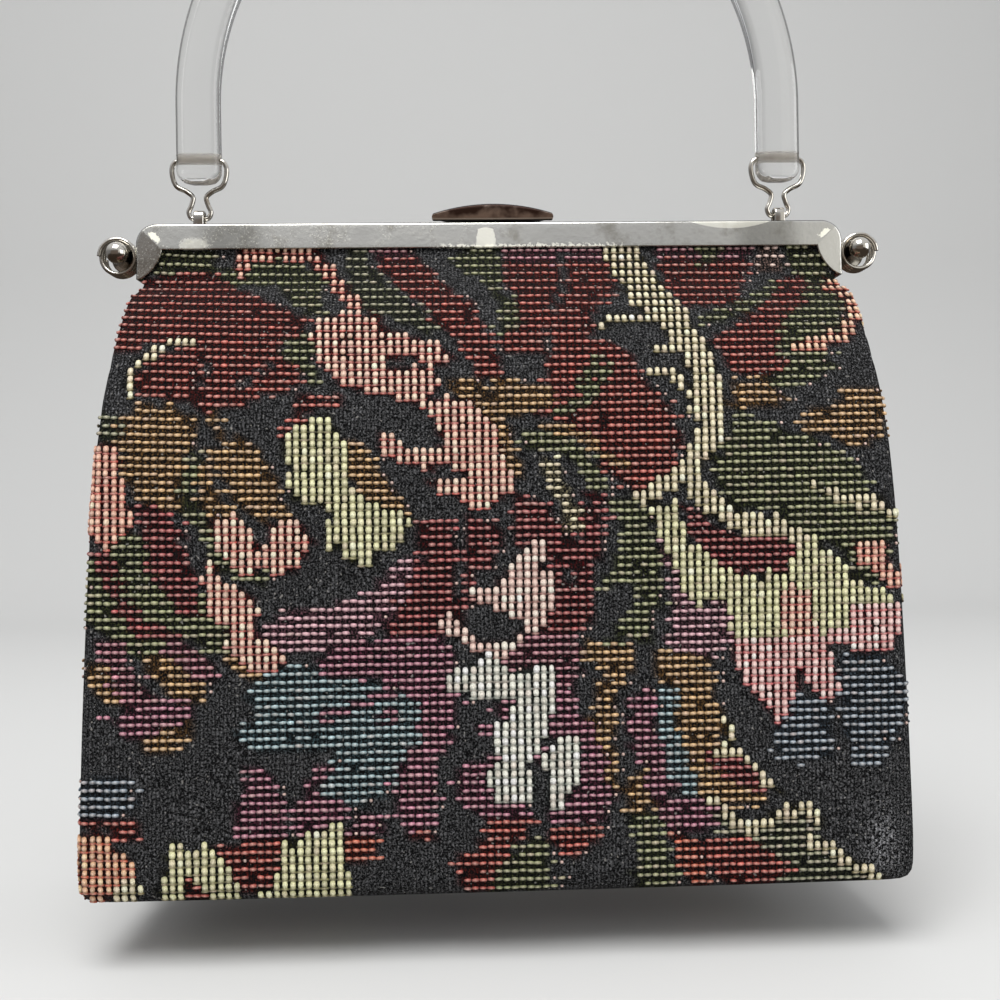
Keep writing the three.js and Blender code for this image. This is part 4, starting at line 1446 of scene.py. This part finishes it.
# Painted highlight and shade: a stitch is palest on its crown and darkens to its flanks and tips, ring by
# ring from the crown round, its colour deepening where it darkens
FLANK = np.array([1.0, 0.72, 0.36, 0.36, 0.72])
GRAIN_SHADE = np.concatenate([0.66 * FLANK, 1.15 * FLANK, 0.66 * FLANK, [0.2, 0.2]])
GRAIN_HIGHLIGHT = np.array([0.08, 0, 0, 0, 0, 0.36, 0.06, 0, 0, 0.06, 0.08, 0, 0, 0, 0, 0, 0])
GRAIN_DEPTH = 1.6 - 0.6 * np.minimum(GRAIN_SHADE, 1)
CROWN_LIGHT = np.array(linear(246, 228, 214)[:3])


def stitch_mesh(name, centres, lengthwise, crosswise, outwards, sizes, colours, shade_power):
    """All stitches of one piece in one mesh: each grain is stretched along its axes and set at its centre,
    with painted highlight and shade in its point colours.
    """
    count = len(centres)
    local = GRAIN_POINTS[None] * sizes[:, None]
    points = centres[:, None] + local[..., :1] * lengthwise[:, None] + local[..., 1:2] * crosswise[:, None]
    points = (points + local[..., 2:] * outwards[:, None]).reshape(-1, 3) * MM
    faces = (GRAIN_FACES[None] + len(GRAIN_POINTS) * np.arange(count)[:, None, None]).reshape(-1, 3)
    mesh = bpy.data.meshes.new(name)
    mesh.vertices.add(len(points))
    mesh.vertices.foreach_set("co", points.astype(np.float32).ravel())
    mesh.loops.add(faces.size)
    mesh.loops.foreach_set("vertex_index", faces.astype(np.int32).ravel())
    mesh.polygons.add(len(faces))
    mesh.polygons.foreach_set("loop_start", np.arange(0, faces.size, 3, dtype=np.int32))
    mesh.update(calc_edges=True)
    layer = mesh.color_attributes.new("thread", "FLOAT_COLOR", "POINT")
    # Painted shade and highlight: flanks and tips darker and deeper in colour, the crown paler
    light = colours[:, None] ** GRAIN_DEPTH[:, None] * GRAIN_SHADE[:, None] ** shade_power[:, None]
    light = light + GRAIN_HIGHLIGHT[:, None] * (CROWN_LIGHT - light)
    shade = np.concatenate([np.clip(light, 0, BRIGHTEST), np.ones(light.shape[:2] + (1,))], 2)
    layer.data.foreach_set("color", shade.astype(np.float32).ravel())
    return mesh


def unit(vectors):
    """Vectors scaled to a length of one."""
    return vectors / np.linalg.norm(vectors, axis=-1, keepdims=True)


def row_places():
    """Where the rows lie down the panel's middle: the camera sees steps that grow a little downwards."""
    down = np.linspace(0, CLOTH_LENGTH, 2000)
    height = chart_place(cloth_point(np.zeros_like(down), down, -1))[1]
    share = np.minimum(ROW_GROWTH * np.linspace(0, 1, ROW_LIMIT), 1)
    steps = np.cumsum(ROW_STEPS[0] + (ROW_STEPS[1] - ROW_STEPS[0]) * share)
    rows = height[0] + steps
    return np.interp(rows[rows < height[-1]], height, down)


def spread(count, pitch):
    """Places of so many cells, one pitch apart and centred on zero."""
    return (np.arange(count) - count / 2 + 0.5) * pitch


def panel_cells(facing):
    """Middle, axes and chart point of every stitch cell of one half's panel and sides, as rows of arrays.

    Columns stand upright to the camera, so they draw apart where the cloth leans back. Rows rise to the
    corners, by the square of the distance. Past a crease the chart point is mirrored back onto the panel.
    """
    along, down = (grid.ravel() for grid in np.meshgrid(spread(PANEL_COLUMNS, COLUMN_PITCH), row_places()))
    fullest = LEVELS[:, 3].max()
    along = along * (1 + (fullest - level_at(down)[:, 3]) / CAMERA_DISTANCE)
    far = np.where(along * facing > 0, 1, FAR_SIDE_LIFT) * (np.abs(along) - LIFT_START).clip(0) ** 2
    down = down - CORNER_LIFT * far / LIFT_SCALE * np.clip(1 - down / LIFT_FADE, 0, 1)
    keep = (np.abs(along) < girth_half(down) - SEAM_GAP) & (down > MOUTH_GAP)
    along, down = along[keep], down[keep]
    step = 0.6
    middle = cloth_point(along, down, facing)
    rightward = unit(cloth_point(along + step, down, facing) - cloth_point(along - step, down, facing))
    downward = unit(cloth_point(along, down + step, facing) - cloth_point(along, down - step, facing))
    outwards = unit(np.cross(rightward, downward) * facing)
    downward = np.cross(outwards, rightward) * facing
    width = level_at(down)[:, 1]
    mirrored = np.where(np.abs(along) > width, np.sign(along) * (2 * width - np.abs(along)), along)
    seen = cloth_point(-facing * mirrored, down, -1)
    return middle, rightward, downward, outwards, seen


def base_cells():
    """The same for the flat base, whose chart point is mirrored at the front edge."""
    columns = spread(BASE_COLUMNS, COLUMN_PITCH)
    rows = spread(BASE_ROWS, ROW_PITCH)
    x, y = (grid.ravel() for grid in np.meshgrid(columns, rows))
    keep = (np.abs(x) < BASE_HALF[0]) & (np.abs(y) < BASE_HALF[1])
    x, y = x[keep], y[keep]
    middle = base_point(x, y)
    rightward = np.tile([1.0, 0, 0], (len(x), 1))
    downward = np.tile([0, 1.0, 0], (len(x), 1))
    outwards = np.tile([0, 0, -1.0], (len(x), 1))
    back_from_edge = np.clip(LEVELS[-1, 3] + y, 0, BASE_REACH)
    seen = cloth_point(x, CLOTH_LENGTH - back_from_edge, -1)
    return middle, rightward, downward, outwards, seen


def thread_table(position):
    """One row of light values for each thread: its stitch colour (position 0) or its tie colour (2)."""
    return np.array([linear(*(THREADS[name][position] or THREADS[name][0]))[:3] for name in THREAD_NAMES])


# Stitches by layer. A row gives the thread's kind, the stitch's length, width and height, how far it stands
# out, its shift down in rows, the share that is lost, which colour of the thread it has, and the way it lies.
STITCH_LAYERS = {
    "flat": [
        ("dash", (2.7, 1.26, 1.05), 0.15, 0.0, 0.015, 0, "across"),
        ("dot", (1.2, 1.1, 0.9), 0.1, 0.0, 0.0, 0, "across"),
    ],
    "raised": [
        ("bead", (2.5, 1.85, 1.3), 0.2, 0.0, 0.0, 0, "down"),
        ("bead", (2.7, 1.1, 1.0), 0.12, 0.5, 0.02, 2, "across"),
        ("chain", (2.75, 2.0, 1.3), 0.2, 0.0, 0.0, 0, "down"),
        ("chain", (2.7, 1.1, 1.0), 0.12, 0.5, 0.02, 2, "across"),
    ],
}


def thread_and_kind(seen):
    """The thread of each cell and its kind of stitch.

    Flat threads stray into each other, and some rows end in a dot.
    """
    kinds = np.array([THREADS[name][1] for name in THREAD_NAMES])
    thread, stray = charted(seen), charted(seen, FLAT_STRAY)
    flat = np.isin(kinds, ("bare", "dash"))
    thread = np.where(flat[thread] & flat[stray], stray, thread)
    kind = kinds[thread]
    row_end = (kind == "bare") & (np.roll(kind, 1) == "dash")
    kind[row_end & (dice.random(len(kind)) < DOT_SHARE)] = "dot"
    return thread, kind


def lay_stitches(rows, cells, thread, kind):
    """Centres, axes, sizes, colours and painted shade power of one layer's stitches, each a little off its
    cell.
    """
    middle, rightward, downward, outwards, _ = cells
    laid = []
    for stitch, size, stand, shift, lost, position, lies in rows:
        table = thread_table(position)
        table[0] = PALE_FLUFF
        chosen = (kind == stitch) & (dice.random(len(kind)) > lost)
        count = chosen.sum()
        jitter = dice.normal(0, OFF_PLACE, (count, 2))
        place = middle[chosen] + jitter[:, :1] * rightward[chosen]
        place = place + (jitter[:, 1:] + shift * ROW_PITCH) * downward[chosen] + stand * outwards[chosen]
        first, second = (rightward, downward) if lies == "across" else (downward, rightward)
        tilt = dice.normal(0, OFF_TILT, (count, 1))
        lengthwise = unit(first[chosen] + tilt * second[chosen])
        crosswise = np.cross(outwards[chosen], lengthwise)
        sizes = np.array(size) * (1 + dice.normal(0, OFF_SIZE, (count, 3)))
        shade = table[thread[chosen]] * np.exp(dice.normal(0, OFF_SHADE, (count, 1)))
        faded = FADED_DEPTH * dice.random((count, 1)) * (dice.random((count, 1)) < FADED_SHARE)
        shade = np.clip(shade + faded * (PALE_FLUFF - shade), 0, BRIGHTEST)
        shade_power = np.full((count, 1), SHADE_POWER[lies])
        laid.append((place, lengthwise, crosswise, outwards[chosen], sizes, shade, shade_power))
    return [np.concatenate(group) for group in zip(*laid)]


def add_stitches(name, cells):
    """Makes the stitches of one set of cells, each layer as a piece of its own."""
    thread, kind = thread_and_kind(cells[-1])
    pieces = []
    for layer, rows in STITCH_LAYERS.items():
        mesh = stitch_mesh(f"{name}_{layer}", *lay_stitches(rows, cells, thread, kind))
        pieces.append(add_piece(mesh, THREAD, "bag", sharp=180))
    return pieces


def colour_cloth(mesh):
    """Gives the cloth's points the colour between the stitches: grey where bare, else a dim tint.

    A worn patch is lighter, by a bell curve across and along it.
    """
    count = len(mesh.vertices)
    points = np.zeros(3 * count, np.float32)
    mesh.vertices.foreach_get("co", points)
    points = points.reshape(-1, 3) / MM
    front = points * (1, 0, 1) - np.abs(points * (0, 1, 0))
    seen = np.where(points[:, 1:2] > 0, front * (-1, 1, 1), front)
    thread = charted(seen)
    tint = UNDER_SHARE * thread_table(2) ** UNDER_DEPTH
    tint[0] = linear(*BARE_GREY)[:3]
    x, y = chart_place(points)
    across, along, half_width, half_height = WORN_PATCH
    from_patch = ((x - across) / half_width) ** 2 + ((y - along) / half_height) ** 2
    worn = np.exp(-from_patch) * (points[:, 1] < 0)
    light = tint[thread] * (1 + WORN_LIGHT * worn[:, None])
    shade = np.hstack([light, np.ones((count, 1))])
    layer = mesh.color_attributes.new("under", "FLOAT_COLOR", "POINT")
    layer.data.foreach_set("color", shade.astype(np.float32).ravel())


colour_cloth(cloth.data)

stitching = [
    *add_stitches("stitches_front", panel_cells(-1)),
    *add_stitches("stitches_back", panel_cells(1)),
    *add_stitches("stitches_base", base_cells()),
]


# Stage, light and camera

FLOOR_HEIGHT = BASE_HEIGHT - 22
BACKDROP = 1500
COVE = 600
STAGE_REACH = 6000
STAGE_TOP = 3000
STAGE_LIGHT = 0.56
CARD_PLACE = -1100
ROOM_BELOW = (0.09, 0.07, 0.055, 1)
ROOM_WALLS = (0.36, 0.36, 0.37, 1)
ROOM_OVERHEAD = (1.15, 1.16, 1.18, 1)
ROOM_STRENGTH = 0.7


def build_stage():
    """One pale sheet: a floor that turns up behind the bag in a quarter circle and rises as a backdrop."""
    turn = np.linspace(0, np.pi / 2, 17)
    cove = np.stack([BACKDROP - COVE + COVE * np.sin(turn), FLOOR_HEIGHT + COVE * (1 - np.cos(turn))], 1)
    outline = np.vstack([[(-STAGE_REACH, FLOOR_HEIGHT)], cove, [(BACKDROP, STAGE_TOP)]])
    across = np.linspace(-STAGE_REACH, STAGE_REACH, 3)
    points = np.empty((len(outline), len(across), 3))
    points[..., 0] = across
    points[..., 1:] = outline[:, None]
    index = np.arange(len(outline) * len(across)).reshape(-1, len(across))
    faces = np.stack([index[:-1, :-1], index[:-1, 1:], index[1:, 1:], index[1:, :-1]], -1).reshape(-1, 4)
    mesh = mesh_of("stage_sheet", [(points.reshape(-1, 3), faces.tolist())])
    pale = (STAGE_LIGHT, STAGE_LIGHT, 0.985 * STAGE_LIGHT, 1)
    mesh.materials.append(Finish("stage_pale", Base_Color=pale, Roughness=0.9).material)
    mesh.polygons.foreach_set("use_smooth", np.ones(len(mesh.polygons), bool))
    sheet = bpy.data.objects.new("stage_sheet", mesh)
    bpy.context.collection.objects.link(sheet)
    sheet.visible_glossy = False


def build_card(name, left, right, low, high, light):
    """An upright glowing card behind the camera that only reflections see, in the colour given as light."""
    x = np.array([left, right, right, left])
    z = np.array([low, low, high, high])
    points = np.stack([x, np.full(4, CARD_PLACE), z], 1).astype(float)
    mesh = mesh_of(name, [(points, [[0, 1, 2, 3]])])
    finish = Finish(name, Base_Color=(0, 0, 0, 1), Specular_IOR_Level=0.0, Emission_Color=light)
    finish.set(Emission_Strength=1.0)
    mesh.materials.append(finish.material)
    card = bpy.data.objects.new(name, mesh)
    bpy.context.collection.objects.link(card)
    card.visible_camera = False
    card.visible_diffuse = False
    card.visible_transmission = False
    card.visible_shadow = False


def add_light(name, place, aim, size, power):
    """A square soft light in metres, aimed at a point."""
    lamp = bpy.data.lights.new(name, "AREA")
    lamp.size = size
    lamp.energy = power
    light = bpy.data.objects.new(name, lamp)
    light.location = place
    light.rotation_euler = (Vector(aim) - Vector(place)).to_track_quat("-Z", "Y").to_euler()
    bpy.context.collection.objects.link(light)


def build_world():
    """Soft daylight: dim and brown below the horizon, grey above it and pale overhead."""
    world = bpy.data.worlds.new("soft_room")
    bpy.context.scene.world = world
    world.use_nodes = True
    room = Nodes(world.node_tree)
    height = room.part("Generated", 2)
    rise = room.node("ShaderNodeMapRange", None, {"Value": height, "From Min": -0.25, "From Max": -0.06})
    walls = room.mix(rise, ROOM_BELOW, ROOM_WALLS)
    light = room.mix(height.fade(0.15, 0.75), walls, ROOM_OVERHEAD)
    background = world.node_tree.nodes["Background"]
    room.feed(background.inputs["Color"], light)
    room.feed(background.inputs["Strength"], ROOM_STRENGTH)


def build_camera():
    """The camera at its distance from the aim, turned by its three axes."""
    right, up, forward = camera_axes()
    place = (CAMERA_AIM - CAMERA_DISTANCE * forward) * MM
    data = bpy.data.cameras.new("photo_camera")
    data.lens = CAMERA_LENS
    data.sensor_width = SENSOR
    data.clip_start = 0.01
    camera = bpy.data.objects.new("photo_camera", data)
    columns = [Vector(right), Vector(up), Vector(-forward)]
    turn = Matrix(columns).transposed().to_4x4()
    camera.matrix_world = Matrix.Translation(Vector(place)) @ turn
    bpy.context.collection.objects.link(camera)
    bpy.context.scene.camera = camera


build_stage()
build_card("dark_card", left=-1400, right=450, low=-620, high=190, light=(0.17, 0.14, 0.12, 1))
build_card("pale_card", left=480, right=1500, low=-250, high=600, light=(0.8, 0.79, 0.75, 1))
build_world()
add_light("key_light", place=(-0.3, -0.9, 1.5), aim=(0, 0, -0.25), size=1.2, power=44)
add_light("fill_light", place=(1.4, -0.7, 0.1), aim=(0, 0, -0.25), size=1.0, power=8)
build_camera()
bpy.context.scene.view_settings.view_transform = "Standard"
